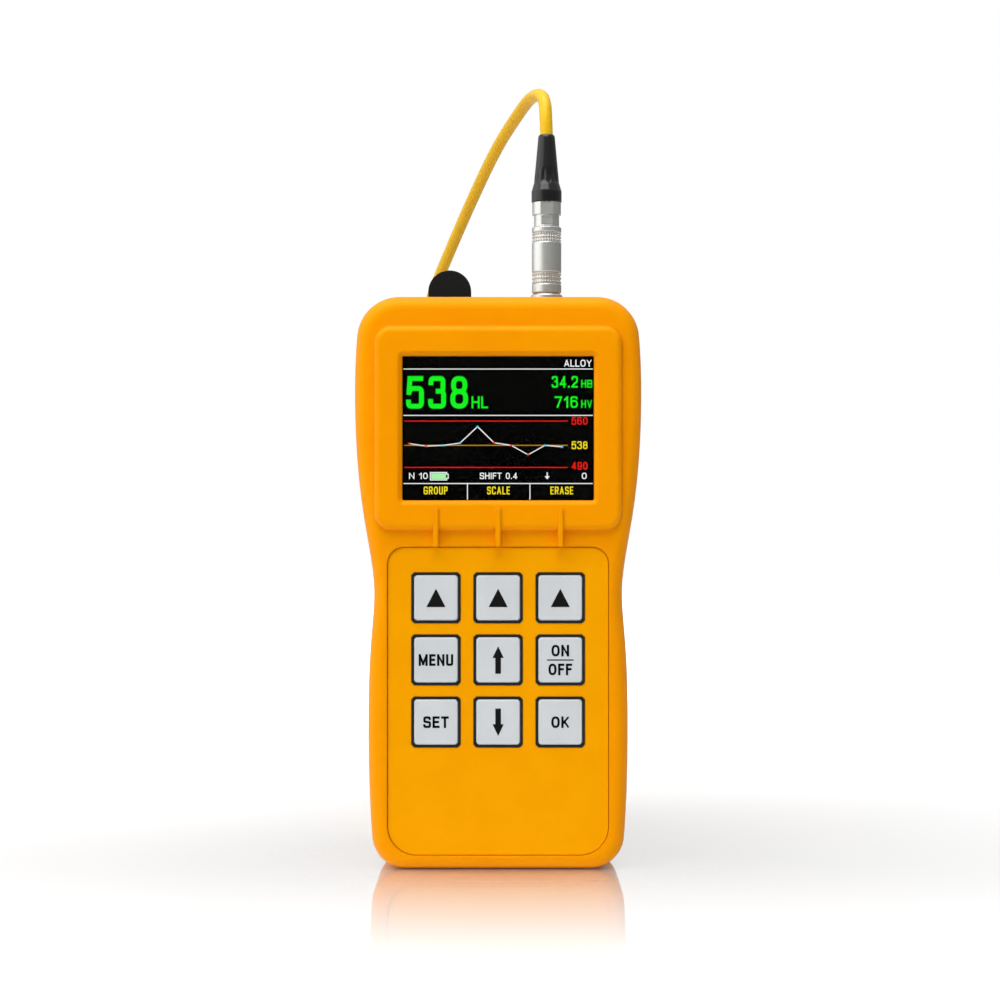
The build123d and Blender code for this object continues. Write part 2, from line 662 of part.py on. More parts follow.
# Front half of the hard case, with the screen boss and the land under the key plate
with BuildPart() as front_case:
    add(housing_block(CASE_INSET, CASE_FRONT_Y, MIDDLE_Y, FRONT_ROUND))
    add(slab(BOSS_WIDTH, BOSS_HEIGHT, BOSS_CORNER, BOSS_FRONT_Y, INNER_FRONT_Y, z=BEZEL_LEVEL))
    add(key_window_block(CASE_GAP, KEY_PLATE_BACK_Y, INNER_FRONT_Y))
    add(housing_block(INNER_INSET, INNER_FRONT_Y, MIDDLE_Y), mode=Mode.SUBTRACT)
    add(posts(CASE_SCREWS, CASE_POST_DIAMETER, INNER_FRONT_Y, MIDDLE_Y))
    add(posts(BOARD_SCREWS, BOARD_POST_DIAMETER, INNER_FRONT_Y, BOARD_FRONT_Y))
    add(
        slab(
            LENS_WIDTH + 2 * CASE_GAP,
            LENS_HEIGHT + 2 * CASE_GAP,
            LENS_CORNER,
            BOSS_FRONT_Y,
            LENS_BACK_Y,
            z=BEZEL_LEVEL,
        ),
        mode=Mode.SUBTRACT,
    )
    add(
        slab(SCREEN_WIDTH, SCREEN_HEIGHT, SCREEN_CORNER, LENS_BACK_Y, DISPLAY_FRONT_Y, z=BEZEL_LEVEL),
        mode=Mode.SUBTRACT,
    )
    add(
        slab(
            BOSS_WIDTH - 2 * SCREEN_BOSS_WALL,
            BOSS_HEIGHT - 2 * SCREEN_BOSS_WALL,
            0,
            DISPLAY_FRONT_Y,
            INNER_FRONT_Y,
            z=BEZEL_LEVEL,
        ),
        mode=Mode.SUBTRACT,
    )
    add(
        slab(
            FRAME_WIDTH + 2 * CASE_GAP,
            FRAME_HEIGHT + 2 * CASE_GAP,
            0,
            KEY_PLATE_BACK_Y,
            INNER_FRONT_Y,
            z=KEY_LEVEL,
        ),
        mode=Mode.SUBTRACT,
    )
    add(end_opening(CASE_GAP, INNER_TOP, CASE_TOP), mode=Mode.SUBTRACT)
    for places, diameter, mouth, grip in (
        (CASE_SCREWS, CASE_SCREW_DIAMETER, MIDDLE_Y, CASE_SCREW_GRIP),
        (BOARD_SCREWS, BOARD_SCREW_DIAMETER, BOARD_FRONT_Y, BOARD_SCREW_GRIP),
        (KEY_BOARD_SCREWS, KEY_SCREW_DIAMETER, INNER_FRONT_Y, KEY_SCREW_GRIP),
    ):
        add(posts(places, diameter + 2 * SCREW_GAP, mouth - grip - SCREW_TIP_GAP, mouth), mode=Mode.SUBTRACT)
keep("front_case", front_case.part)

# Seal ring in the joint between the two halves
with BuildPart() as case_seal:
    seal_inset = CASE_INSET + SEAL_LIP
    add(housing_block(seal_inset, MIDDLE_Y, MIDDLE_Y + SEAL_HEIGHT))
    add(housing_block(seal_inset + SEAL_WIDTH, MIDDLE_Y, MIDDLE_Y + SEAL_HEIGHT), mode=Mode.SUBTRACT)
    add(end_opening(CASE_GAP + SEAL_LIP, INNER_TOP, CASE_TOP), mode=Mode.SUBTRACT)
seal_ring = case_seal.part

# Rear half of the hard case, with the battery bay and the ears of the door's hinge
with BuildPart() as rear_case:
    add(housing_block(CASE_INSET, MIDDLE_Y, CASE_BACK_Y, 0.0, BACK_ROUND))
    add(housing_block(INNER_INSET, MIDDLE_Y, INNER_BACK_Y), mode=Mode.SUBTRACT)
    add(posts(CASE_SCREWS, CASE_POST_DIAMETER, MIDDLE_Y, INNER_BACK_Y))
    add(
        slab(
            BAY_WIDTH + 2 * BAY_WALL,
            BAY_LENGTH + 2 * BAY_WALL,
            0,
            BAY_FLOOR_Y - BAY_WALL,
            INNER_BACK_Y,
            z=BAY_MIDDLE,
        )
    )
    add(slab(BAY_WIDTH, BAY_LENGTH, 0, BAY_FLOOR_Y, CASE_BACK_Y, z=BAY_MIDDLE), mode=Mode.SUBTRACT)
    ear_height = 2 * (HINGE_RADIUS + EAR_MARGIN)
    for x in (-EAR_X, EAR_X):
        add(slab(EAR_WIDTH, ear_height, 0, CASE_BACK_Y, DOOR_FACE_Y, x=x, z=HINGE_LEVEL))
    with BuildSketch(Plane.YZ):
        with Locations((HINGE_Y, HINGE_LEVEL)):
            Circle(HINGE_RADIUS + HINGE_GAP)
    extrude(amount=DOOR_WIDTH / 2 + HINGE_GAP, both=True, mode=Mode.SUBTRACT)
    with BuildSketch(Plane.YZ):
        with Locations((HINGE_Y, HINGE_LEVEL)):
            Circle(HINGE_PIN_RADIUS + CASE_GAP)
    extrude(amount=EAR_X + EAR_WIDTH / 2, both=True, mode=Mode.SUBTRACT)
    add(end_opening(CASE_GAP, INNER_TOP, CASE_TOP), mode=Mode.SUBTRACT)
    add(posts(CASE_SCREWS, CASE_SCREW_DIAMETER + 2 * SCREW_GAP, MIDDLE_Y, CASE_BACK_Y), mode=Mode.SUBTRACT)
    head_hole = CASE_SCREW_HEAD_DIAMETER + 2 * SCREW_HEAD_GAP
    add(posts(CASE_SCREWS, head_hole, CASE_BACK_Y - CASE_SCREW_SEAT, CASE_BACK_Y), mode=Mode.SUBTRACT)
    add(seal_ring, mode=Mode.SUBTRACT)
keep("rear_case", rear_case.part)
keep("case_seal", seal_ring)

# Yellow plate with nine holes, lying in the key window
with BuildPart() as keypad_panel:
    add(key_window_block(CASE_GAP, KEY_PLATE_Y, KEY_PLATE_BACK_Y))
    add(
        key_grid(
            RIM_WIDTH + 2 * RIM_GAP,
            RIM_HEIGHT + 2 * RIM_GAP,
            KEY_PLATE_Y,
            KEY_PLATE_BACK_Y,
            corner_flat=INNER_BEVEL * RIM_CORNER,
        ),
        mode=Mode.SUBTRACT,
    )
keep("keypad_panel", keypad_panel.part)

# Black grid behind the plate: nine rims stand through it, nine pockets hold the key flanges
with BuildPart() as key_frame:
    add(slab(FRAME_WIDTH, FRAME_HEIGHT, 0, KEY_PLATE_BACK_Y, FRAME_BACK_Y, z=KEY_LEVEL))
    add(key_grid(RIM_WIDTH, RIM_HEIGHT, RIM_Y, KEY_PLATE_BACK_Y, corner_round=RIM_CORNER))
    add(
        key_grid(
            KEY_WIDTH + 2 * KEY_GAP,
            KEY_HEIGHT + 2 * KEY_GAP,
            RIM_Y,
            POCKET_FRONT_Y,
            corner_flat=INNER_BEVEL * KEY_CORNER,
        ),
        mode=Mode.SUBTRACT,
    )
    add(
        key_grid(
            KEY_WIDTH + 2 * (KEY_FLANGE + FLANGE_PLAY),
            KEY_HEIGHT + 2 * (KEY_FLANGE + FLANGE_PLAY),
            POCKET_FRONT_Y,
            FRAME_BACK_Y,
        ),
        mode=Mode.SUBTRACT,
    )
keep("key_frame", key_frame.part)


def key_cap(x, z):
    """Key with a round-cornered cap, a flange behind the frame's ledge and a stem over its dome."""
    with BuildPart() as cap:
        add(slab(KEY_WIDTH, KEY_HEIGHT, KEY_CORNER, KEY_FACE_Y, FLANGE_FRONT_Y, x=x, z=z))
        chamfer(cap.faces().sort_by(Axis.Y)[0].edges(), KEY_EDGE)
        flange_width = KEY_WIDTH + 2 * KEY_FLANGE
        flange_height = KEY_HEIGHT + 2 * KEY_FLANGE
        add(slab(flange_width, flange_height, 0, FLANGE_FRONT_Y, FLANGE_BACK_Y, x=x, z=z))
        add(posts([(x, z)], STEM_DIAMETER, FLANGE_BACK_Y, STEM_BACK_Y))
    return cap.part


for row, names in enumerate(KEY_NAMES):
    for column, name in enumerate(names):
        keep(name, key_cap((column - 1) * KEY_PITCH, KEY_LEVEL + (1 - row) * KEY_PITCH))

# Sheet with nine snap domes, drawn at their pressed height
with BuildPart() as key_domes:
    add(slab(FRAME_WIDTH, FRAME_HEIGHT, 0, INNER_FRONT_Y - DOME_SHEET, INNER_FRONT_Y, z=KEY_LEVEL))
    with BuildSketch(facing(INNER_FRONT_Y - DOME_SHEET)):
        with Locations((0, KEY_LEVEL)):
            with GridLocations(KEY_PITCH, KEY_PITCH, 3, 3):
                RegularPolygon(DOME_DIAMETER / 2, DOME_SIDES)
    extrude(amount=DOME_RISE, taper=DOME_TAPER)
keep("key_domes", key_domes.part)

# Circuit board behind the domes, with a header and two chips soldered on
with BuildPart() as keypad_board:
    add(slab(KEY_BOARD_WIDTH, KEY_BOARD_HEIGHT, 0, INNER_FRONT_Y, KEY_BOARD_BACK_Y, z=KEY_LEVEL))
    for width, height, thickness, x, up in KEY_BOARD_PARTS:
        add(slab(width, height, 0, KEY_BOARD_BACK_Y, KEY_BOARD_BACK_Y + thickness, x=x, z=KEY_LEVEL + up))
    screw_hole = KEY_SCREW_DIAMETER + 2 * SCREW_HOLE_GAP
    add(posts(KEY_BOARD_SCREWS, screw_hole, INNER_FRONT_Y, KEY_BOARD_BACK_Y), mode=Mode.SUBTRACT)
keep("keypad_board", keypad_board.part)

# Clear lens in the screen boss, its rim behind the jacket's lip
with BuildPart() as screen_window:
    add(slab(LENS_WIDTH, LENS_HEIGHT, LENS_CORNER, BOSS_FRONT_Y, LENS_BACK_Y, z=BEZEL_LEVEL))
keep("screen_window", screen_window.part)

# Display: backlight tray with the glass stepped in at its front
with BuildPart() as lcd_module:
    glass_back = DISPLAY_FRONT_Y + DISPLAY_GLASS_STEP
    add(slab(DISPLAY_WIDTH, DISPLAY_HEIGHT, 0, glass_back, DISPLAY_BACK_Y, z=BEZEL_LEVEL))
    add(
        slab(
            DISPLAY_WIDTH - 2 * DISPLAY_GLASS_BORDER,
            DISPLAY_HEIGHT - 2 * DISPLAY_GLASS_BORDER,
            0,
            DISPLAY_FRONT_Y,
            glass_back,
            z=BEZEL_LEVEL,
        )
    )
keep("lcd_module", lcd_module.part)

# Plate that holds the display in the boss, open in its middle
with BuildPart() as lcd_bracket:
    back = BRACKET_FRONT_Y + BRACKET_THICKNESS
    add(slab(BRACKET_WIDTH, BRACKET_HEIGHT, 0, BRACKET_FRONT_Y, back, z=BEZEL_LEVEL))
    add(
        slab(
            BRACKET_WIDTH - 2 * BRACKET_RIM,
            BRACKET_HEIGHT - 2 * BRACKET_RIM,
            0,
            BRACKET_FRONT_Y,
            back,
            z=BEZEL_LEVEL,
        ),
        mode=Mode.SUBTRACT,
    )
keep("lcd_bracket", lcd_bracket.part)

# Main circuit board, stepped in at the top between the case posts
with BuildPart() as main_board:
    shoulder = BODY_HEIGHT - BOARD_SHOULDER
    with BuildSketch(facing(BOARD_BACK_Y)):
        with Locations((0, (BOARD_BOTTOM + shoulder) / 2)):
            Rectangle(BOARD_WIDTH, shoulder - BOARD_BOTTOM)
        with Locations((0, (BOARD_BOTTOM + BOARD_TOP) / 2)):
            Rectangle(BOARD_HEAD_WIDTH, BOARD_TOP - BOARD_BOTTOM)
    extrude(amount=BOARD_THICKNESS)
    for width, height, thickness, x, up in MAIN_BOARD_PARTS:
        add(slab(width, height, 0, BOARD_BACK_Y, BOARD_BACK_Y + thickness, x=x, z=BEZEL_LEVEL + up))
    width, height, thickness, x, up = DISPLAY_CONNECTOR
    add(slab(width, height, 0, BOARD_FRONT_Y - thickness, BOARD_FRONT_Y, x=x, z=BEZEL_LEVEL + up))
    screw_hole = BOARD_SCREW_DIAMETER + 2 * SCREW_HOLE_GAP
    add(posts(BOARD_SCREWS, screw_hole, BOARD_FRONT_Y, BOARD_BACK_Y), mode=Mode.SUBTRACT)
keep("main_board", main_board.part)

# Round buzzer on the back of the main board, with its sound hole
with BuildPart() as buzzer:
    place = [(BUZZER_PLACE[0], BEZEL_LEVEL + BUZZER_PLACE[1])]
    buzzer_back = BOARD_BACK_Y + BUZZER_HEIGHT
    add(posts(place, BUZZER_DIAMETER, BOARD_BACK_Y, buzzer_back, sides=0))
    add(
        posts(place, BUZZER_HOLE_DIAMETER, buzzer_back - BUZZER_HOLE_DEPTH, buzzer_back),
        mode=Mode.SUBTRACT,
    )
keep("buzzer", buzzer.part)

# End panel: a yellow plate flanged inside the case, holed for the socket and the port
with BuildPart() as connector_panel:
    add(
        tile(
            END_PANEL_WIDTH,
            END_PANEL_DEPTH,
            END_PANEL_CORNER,
            INNER_TOP,
            END_PANEL_TOP,
            y=MIDDLE_Y,
        )
    )
    chamfer(connector_panel.faces().sort_by(Axis.Z)[-1].edges(), END_PANEL_EDGE)
    flange_width = END_PANEL_WIDTH + 2 * END_PANEL_FLANGE
    flange_depth = END_PANEL_DEPTH + 2 * END_PANEL_FLANGE
    add(tile(flange_width, flange_depth, 0, END_PANEL_BOTTOM, INNER_TOP, y=MIDDLE_Y))
    with BuildSketch(Plane.XY.offset(END_PANEL_BOTTOM)):
        with Locations((CONNECTOR_OFFSET, MIDDLE_Y)):
            Circle(SOCKET_BARREL_DIAMETER / 2 + FIT_GAP)
        with Locations((-CONNECTOR_OFFSET, MIDDLE_Y)):
            RectangleRounded(PORT_WIDTH + 2 * PORT_GAP, PORT_HEIGHT + 2 * PORT_GAP, PORT_HEIGHT / 2)
    extrude(amount=END_PANEL_TOP - END_PANEL_BOTTOM, mode=Mode.SUBTRACT)
keep("connector_panel", connector_panel.part)

# Probe socket: flange ring on the end panel and a threaded barrel through it, open for the nose
socket_plane = axis_plane(CONNECTOR_OFFSET, MIDDLE_Y, 0)
ring = SOCKET_RING_DIAMETER / 2
barrel = SOCKET_BARREL_DIAMETER / 2
probe_socket = turned(
    (
        (SOCKET_BORE, SOCKET_FLOOR),
        (SOCKET_BORE, SOCKET_TOP),
        (ring - SOCKET_EDGE, SOCKET_TOP),
        (ring, SOCKET_TOP - SOCKET_EDGE),
        (ring, END_PANEL_TOP),
        (barrel, END_PANEL_TOP),
        (barrel, SOCKET_BOTTOM),
        (SOCKET_BORE - SOCKET_STEP, SOCKET_BOTTOM),
        (SOCKET_BORE - SOCKET_STEP, SOCKET_FLOOR),
    ),
    socket_plane,
)
keep("probe_socket", probe_socket)

# Contact insert of the socket: its stub stands in the plug's nose, its tails stand out below
with BuildPart() as socket_insert:
    rim = SOCKET_BORE - SOCKET_STEP - FIT_GAP
    stub = NOSE_BORE - STUB_GAP
    add(
        turned(
            (
                (0, SOCKET_BOTTOM),
                (rim, SOCKET_BOTTOM),
                (rim, SOCKET_FLOOR),
                (stub, SOCKET_FLOOR),
                (stub, NOSE_TIP + STUB_HEIGHT),
                (0, NOSE_TIP + STUB_HEIGHT),
            ),
            socket_plane,
        )
    )
    for level, gap, reach, mode in (
        (NOSE_TIP + STUB_HEIGHT, PIN_GAP, -STUB_HEIGHT, Mode.SUBTRACT),
        (SOCKET_BOTTOM, 0, -TAIL_LENGTH, Mode.ADD),
    ):
        with BuildSketch(Plane.XY.offset(level)):
            with Locations((CONNECTOR_OFFSET, MIDDLE_Y)):
                with PolarLocations(PIN_CIRCLE_DIAMETER / 2, PIN_COUNT):
                    RegularPolygon(PIN_DIAMETER / 2 + gap, PIN_SIDES)
        extrude(amount=reach, mode=mode)
keep("socket_insert", socket_insert.part)

# Hexagon nut that clamps the socket to the end panel
with BuildPart() as socket_nut:
    with BuildSketch(Plane.XY.offset(END_PANEL_BOTTOM)):
        with Locations((CONNECTOR_OFFSET, MIDDLE_Y)):
            RegularPolygon(SOCKET_NUT_ACROSS / 2, 6, major_radius=False, rotation=30)
            Circle(barrel + FIT_GAP, mode=Mode.SUBTRACT)
    extrude(amount=-SOCKET_NUT_HEIGHT)
keep("socket_nut", socket_nut.part)

# Port under the black cover: flat shell with a tongue, on a flange below the end panel
with BuildPart() as port_socket:
    port_bottom = PORT_TOP - PORT_DEPTH
    port_x = -CONNECTOR_OFFSET
    flange_width = PORT_WIDTH + 2 * PORT_FLANGE
    flange_depth = PORT_HEIGHT + 2 * PORT_FLANGE
    port_floor = port_bottom - PORT_FLOOR
    add(tile(flange_width, flange_depth, 0, port_floor, END_PANEL_BOTTOM, port_x, MIDDLE_Y))
    shell_corner = PORT_HEIGHT / 2 - PORT_GAP
    add(tile(PORT_WIDTH, PORT_HEIGHT, shell_corner, port_bottom, PORT_TOP, port_x, MIDDLE_Y))
    add(
        tile(
            PORT_WIDTH - 2 * PORT_SHELL,
            PORT_HEIGHT - 2 * PORT_SHELL,
            shell_corner - PORT_SHELL,
            port_bottom,
            PORT_TOP,
            port_x,
            MIDDLE_Y,
        ),
        mode=Mode.SUBTRACT,
    )
    tongue_top = PORT_TOP - PORT_TONGUE_SUNK
    add(tile(PORT_TONGUE_WIDTH, PORT_TONGUE_HEIGHT, 0, port_floor, tongue_top, port_x, MIDDLE_Y))
keep("port_socket", port_socket.part)

# Black rubber port cover: plate, hollow prong in the port and a flat half-round grip tab
with BuildPart() as port_cover:
    plate_top = END_PANEL_TOP + COVER_PLATE_THICKNESS
    cover_plate = (COVER_TAB_WIDTH, COVER_PLATE_DEPTH, COVER_PLATE_CORNER)
    add(tile(*cover_plate, END_PANEL_TOP, plate_top, port_x, MIDDLE_Y))
    prong_bottom = PORT_TOP - COVER_PRONG_LENGTH
    prong_width = PORT_WIDTH - 2 * (PORT_SHELL + PORT_GAP)
    prong_height = PORT_HEIGHT - 2 * (PORT_SHELL + PORT_GAP)
    prong_corner = prong_height / 2 - PORT_GAP
    add(tile(prong_width, prong_height, prong_corner, prong_bottom, END_PANEL_TOP, port_x, MIDDLE_Y))
    add(
        tile(
            PORT_TONGUE_WIDTH + 2 * PORT_TONGUE_GAP,
            PORT_TONGUE_HEIGHT + 2 * PORT_TONGUE_GAP,
            0,
            prong_bottom,
            tongue_top + PORT_TONGUE_GAP,
            port_x,
            MIDDLE_Y,
        ),
        mode=Mode.SUBTRACT,
    )
    tab_half = COVER_TAB_WIDTH / 2
    tab_top = END_PANEL_TOP + COVER_TAB_HEIGHT
    with BuildSketch(facing(MIDDLE_Y + COVER_TAB_THICKNESS / 2)):
        with BuildLine():
            Polyline(
                (port_x - tab_half, tab_top - tab_half),
                (port_x - tab_half, END_PANEL_TOP),
                (port_x + tab_half, END_PANEL_TOP),
                (port_x + tab_half, tab_top - tab_half),
            )
            ThreePointArc(
                (port_x - tab_half, tab_top - tab_half),
                (port_x, tab_top),
                (port_x + tab_half, tab_top - tab_half),
            )
        make_face()
    extrude(amount=COVER_TAB_THICKNESS)
keep("port_cover", port_cover.part)


def cell(plane):
    """AA-size cell: round can with a nub at the far end of its axis."""
    can = CELL_DIAMETER / 2
    nub = CELL_NUB_DIAMETER / 2
    shoulder = CELL_LENGTH - CELL_NUB_LENGTH
    return turned(
        (
            (0, 0),
            (can, 0),
            (can, shoulder),
            (nub, shoulder),
            (nub, CELL_LENGTH),
            (0, CELL_LENGTH),
        ),
        plane,
    )


keep("battery_left", cell(axis_plane(-CELL_X, CELL_Y, BAY_TOP - CONTACT_THICKNESS - CELL_LENGTH)))
keep("battery_right", cell(axis_plane(CELL_X, CELL_Y, BAY_BOTTOM + CONTACT_THICKNESS + CELL_LENGTH, -1)))


def contact_leaf(x, base, reach):
    """Bent spring leaf from a contact plate at height base to a cell's end, reach mm away."""
    tip = base + reach
    under_tip = tip - CONTACT_THICKNESS * reach / abs(reach)
    with BuildPart() as leaf:
        with BuildSketch(facing(CELL_Y + LEAF_WIDTH / 2)):
            with BuildLine():
                Polyline(
                    (x + LEAF_ROOT, base),
                    (x + LEAF_ROOT - LEAF_SKEW, base),
                    (x + LEAF_BEND - LEAF_SKEW, under_tip),
                    (x + LEAF_END, under_tip),
                    (x + LEAF_END, tip),
                    (x + LEAF_BEND, tip),
                    close=True,
                )
            make_face()
        extrude(amount=LEAF_WIDTH)
    return leaf.part


# Battery contacts: one bridge at the top, two terminals at the bottom
plate_depth = CELL_DIAMETER - 2 * CONTACT_SIDE_MARGIN
terminal_width = CELL_DIAMETER - 2 * CONTACT_MARGIN
bridge_bottom = BAY_TOP - CONTACT_THICKNESS
terminal_top = BAY_BOTTOM + CONTACT_THICKNESS
with BuildPart() as contact_bridge:
    add(tile(BAY_WIDTH - 2 * CONTACT_MARGIN, plate_depth, 0, bridge_bottom, BAY_TOP, 0, CELL_Y))
    add(contact_leaf(CELL_X, bridge_bottom, -BAY_SPRING))
keep("contact_bridge", contact_bridge.part)
with BuildPart() as contact_plus:
    add(tile(terminal_width, plate_depth, 0, BAY_BOTTOM, terminal_top, CELL_X, CELL_Y))
keep("contact_plus", contact_plus.part)
with BuildPart() as contact_minus:
    add(tile(terminal_width, plate_depth, 0, BAY_BOTTOM, terminal_top, -CELL_X, CELL_Y))
    add(contact_leaf(-CELL_X, terminal_top, BAY_SPRING))
keep("contact_minus", contact_minus.part)

# Battery door: plate on a round barrel with two pins, a latch tongue and three grip ridges
with BuildPart() as battery_door:
    add(
        slab(
            DOOR_WIDTH,
            HINGE_LEVEL - DOOR_BOTTOM,
            0,
            DOOR_BACK_Y,
            DOOR_FACE_Y,
            z=(HINGE_LEVEL + DOOR_BOTTOM) / 2,
        )
    )
    fillet(battery_door.edges().filter_by(Axis.Y).group_by(Axis.Z)[0], DOOR_CORNER)
    with BuildSketch(Plane.YZ):
        with Locations((HINGE_Y, HINGE_LEVEL)):
            Circle(HINGE_RADIUS)
    extrude(amount=DOOR_WIDTH / 2, both=True)
    with BuildSketch(Plane.YZ):
        with Locations((HINGE_Y, HINGE_LEVEL)):
            Circle(HINGE_PIN_RADIUS)
    extrude(amount=DOOR_WIDTH / 2 + HINGE_GAP + HINGE_PIN_LENGTH, both=True)
    latch_level = BAY_BOTTOM + BAY_PLAY + LATCH_THICKNESS / 2
    add(slab(LATCH_WIDTH, LATCH_THICKNESS, 0, DOOR_BACK_Y - LATCH_REACH, DOOR_BACK_Y, z=latch_level))
    for ridge in range(RIDGE_COUNT):
        ridge_level = DOOR_BOTTOM + RIDGE_START + RIDGE_PITCH * ridge
        root, crest = DOOR_FACE_Y - RIDGE_ROOT, DOOR_FACE_Y + RIDGE_PROUD
        add(slab(RIDGE_WIDTH, RIDGE_THICKNESS, 0, root, crest, z=ridge_level))
keep("battery_door", battery_door.part)


def screws(places, seat, tip, diameter, head_diameter, head_height):
    """Group of like screws driven from behind: shanks from the tip's depth to the seat, heads on the seat."""
    with BuildPart() as group:
        add(posts(places, head_diameter, seat, seat + head_height))
        add(posts(places, diameter, tip, seat))
    return group.part


case_screw = (CASE_SCREW_DIAMETER, CASE_SCREW_HEAD_DIAMETER, CASE_SCREW_HEAD_HEIGHT)
board_screw = (BOARD_SCREW_DIAMETER, BOARD_SCREW_HEAD_DIAMETER, BOARD_SCREW_HEAD_HEIGHT)
key_screw = (KEY_SCREW_DIAMETER, KEY_SCREW_HEAD_DIAMETER, KEY_SCREW_HEAD_HEIGHT)
case_seat = CASE_BACK_Y - CASE_SCREW_SEAT
keep("case_screws", screws(CASE_SCREWS, case_seat, MIDDLE_Y - CASE_SCREW_GRIP, *case_screw))
keep("board_screws", screws(BOARD_SCREWS, BOARD_BACK_Y, BOARD_FRONT_Y - BOARD_SCREW_GRIP, *board_screw))
keep("keypad_screws", screws(KEY_BOARD_SCREWS, KEY_BOARD_BACK_Y, INNER_FRONT_Y - KEY_SCREW_GRIP, *key_screw))


def flats(plane, start, end, across):
    """Two blocks that cut spanner flats, square to the plane's Z direction."""
    with BuildPart() as cutter:
        for side in (-1, 1):
            with BuildSketch(plane.offset(side * across / 2)):
                with Locations((0, (start + end) / 2)):
                    Rectangle(3 * across, end - start)
            extrude(amount=side * across)
    return cutter.part


def plug_body(plane):
    """Turned core of the plug: hollow nose with a latch groove, core, neck with flats, spigot."""
    nose = NOSE_DIAMETER / 2
    core = CORE_DIAMETER / 2
    neck = NECK_DIAMETER / 2
    spigot = SPIGOT_DIAMETER / 2
    spigot_end = NUT_END - NUT_FLOOR - FIT_GAP
    groove = nose - GROOVE_DEPTH
    groove_end = GROOVE_START + GROOVE_LENGTH
    with BuildPart() as body:
        add(
            turned(
                (
                    (0, NOSE_FLOOR),
                    (NOSE_BORE, NOSE_FLOOR),
                    (NOSE_BORE, 0),
                    (nose - NOSE_EDGE, 0),
                    (nose, NOSE_EDGE),
                    (nose, GROOVE_START),
                    (groove, GROOVE_START + GROOVE_DEPTH),
                    (groove, groove_end - GROOVE_DEPTH),
                    (nose, groove_end),
                    (nose, CORE_START),
                    (core, CORE_START),
                    (core, NECK_START),
                    (neck, NECK_START),
                    (neck, NECK_END),
                    (spigot, NECK_END),
                    (spigot, spigot_end),
                    (0, spigot_end),
                ),
                plane,
            )
        )
        flats_start = SLEEVE_END + NECK_FLAT_MARGIN
        flats_end = NECK_END - NECK_FLAT_MARGIN
        add(flats(plane, flats_start, flats_end, NECK_FLATS), mode=Mode.SUBTRACT)
    return body.part


def plug_insert(plane):
    """Contact insert in the plug's nose: round insulator with pins."""
    with BuildPart() as insert:
        rim = NOSE_BORE - FIT_GAP
        add(turned(((0, PIN_FACE), (rim, PIN_FACE), (rim, NOSE_FLOOR), (0, NOSE_FLOOR)), plane))
        face = Plane(origin=plane.origin + plane.y_dir * PIN_FACE, x_dir=plane.x_dir, z_dir=plane.y_dir)
        with BuildSketch(face):
            with PolarLocations(PIN_CIRCLE_DIAMETER / 2, PIN_COUNT):
                RegularPolygon(PIN_DIAMETER / 2, PIN_SIDES)
        extrude(amount=PIN_TIP - PIN_FACE)
    return insert.part


def plug_sleeve(plane):
    """Pull sleeve that slides on the core until its step meets the neck."""
    outside = SLEEVE_DIAMETER / 2
    bore = CORE_DIAMETER / 2 + SLEEVE_GAP
    wide_bore = NECK_DIAMETER / 2 + SLEEVE_GAP
    return turned(
        (
            (bore, CORE_START),
            (outside, CORE_START),
            (outside, SLEEVE_END),
            (wide_bore, SLEEVE_END),
            (wide_bore, SLEEVE_STEP),
            (bore, SLEEVE_STEP),
        ),
        plane,
    )


def plug_nut(plane):
    """Collet nut with two flats, and a collar behind it for the bend relief."""
    outside = NUT_DIAMETER / 2
    bore = SPIGOT_DIAMETER / 2 + FIT_GAP
    collar = COLLAR_DIAMETER / 2
    cable_hole = CABLE_DIAMETER / 2
    with BuildPart() as nut:
        add(
            turned(
                (
                    (bore, NECK_END),
                    (outside, NECK_END),
                    (outside, NUT_END),
                    (collar, NUT_END),
                    (collar, COLLAR_END),
                    (cable_hole, COLLAR_END),
                    (cable_hole, NUT_END - NUT_FLOOR),
                    (bore, NUT_END - NUT_FLOOR),
                ),
                plane,
            )
        )
        add(flats(plane, NECK_END, NUT_END, NUT_FLATS), mode=Mode.SUBTRACT)
    return nut.part


def plug_relief(plane):
    """Rubber bend relief: skirt over the collar, shoulder and long taper to the cable."""
    skirt = RELIEF_SKIRT_DIAMETER / 2
    waist = RELIEF_WAIST_DIAMETER / 2
    tip = RELIEF_TIP_DIAMETER / 2
    bore = COLLAR_DIAMETER / 2 + FIT_GAP
    bore_end = COLLAR_END + RELIEF_FLOOR_GAP
    return turned(
        (
            (0, bore_end),
            (bore, bore_end),
            (bore, NUT_END),
            (skirt, NUT_END),
            (skirt, NUT_END + RELIEF_SKIRT_LENGTH),
            (waist, NUT_END + RELIEF_SKIRT_LENGTH + RELIEF_SHOULDER_LENGTH),
            (tip, RELIEF_END),
            (0, RELIEF_END),
        ),
        plane,
    )


# The plug in the socket, and a like one that lies on the floor at the cable's other end
plug_plane = axis_plane(CONNECTOR_OFFSET, MIDDLE_Y, NOSE_TIP)
lead_x, lead_y, lead_z = CABLE_LEAD[-1]
far_plug_plane = Plane(origin=(lead_x, lead_y + RELIEF_END, lead_z), x_dir=(1, 0, 0), z_dir=(0, 0, -1))
for prefix, plane in (("", plug_plane), ("far_", far_plug_plane)):
    keep(prefix + "plug_body", plug_body(plane))
    keep(prefix + "plug_insert", plug_insert(plane))
    keep(prefix + "plug_sleeve", plug_sleeve(plane))
    keep(prefix + "plug_nut", plug_nut(plane))
    keep(prefix + "plug_boot", plug_relief(plane))


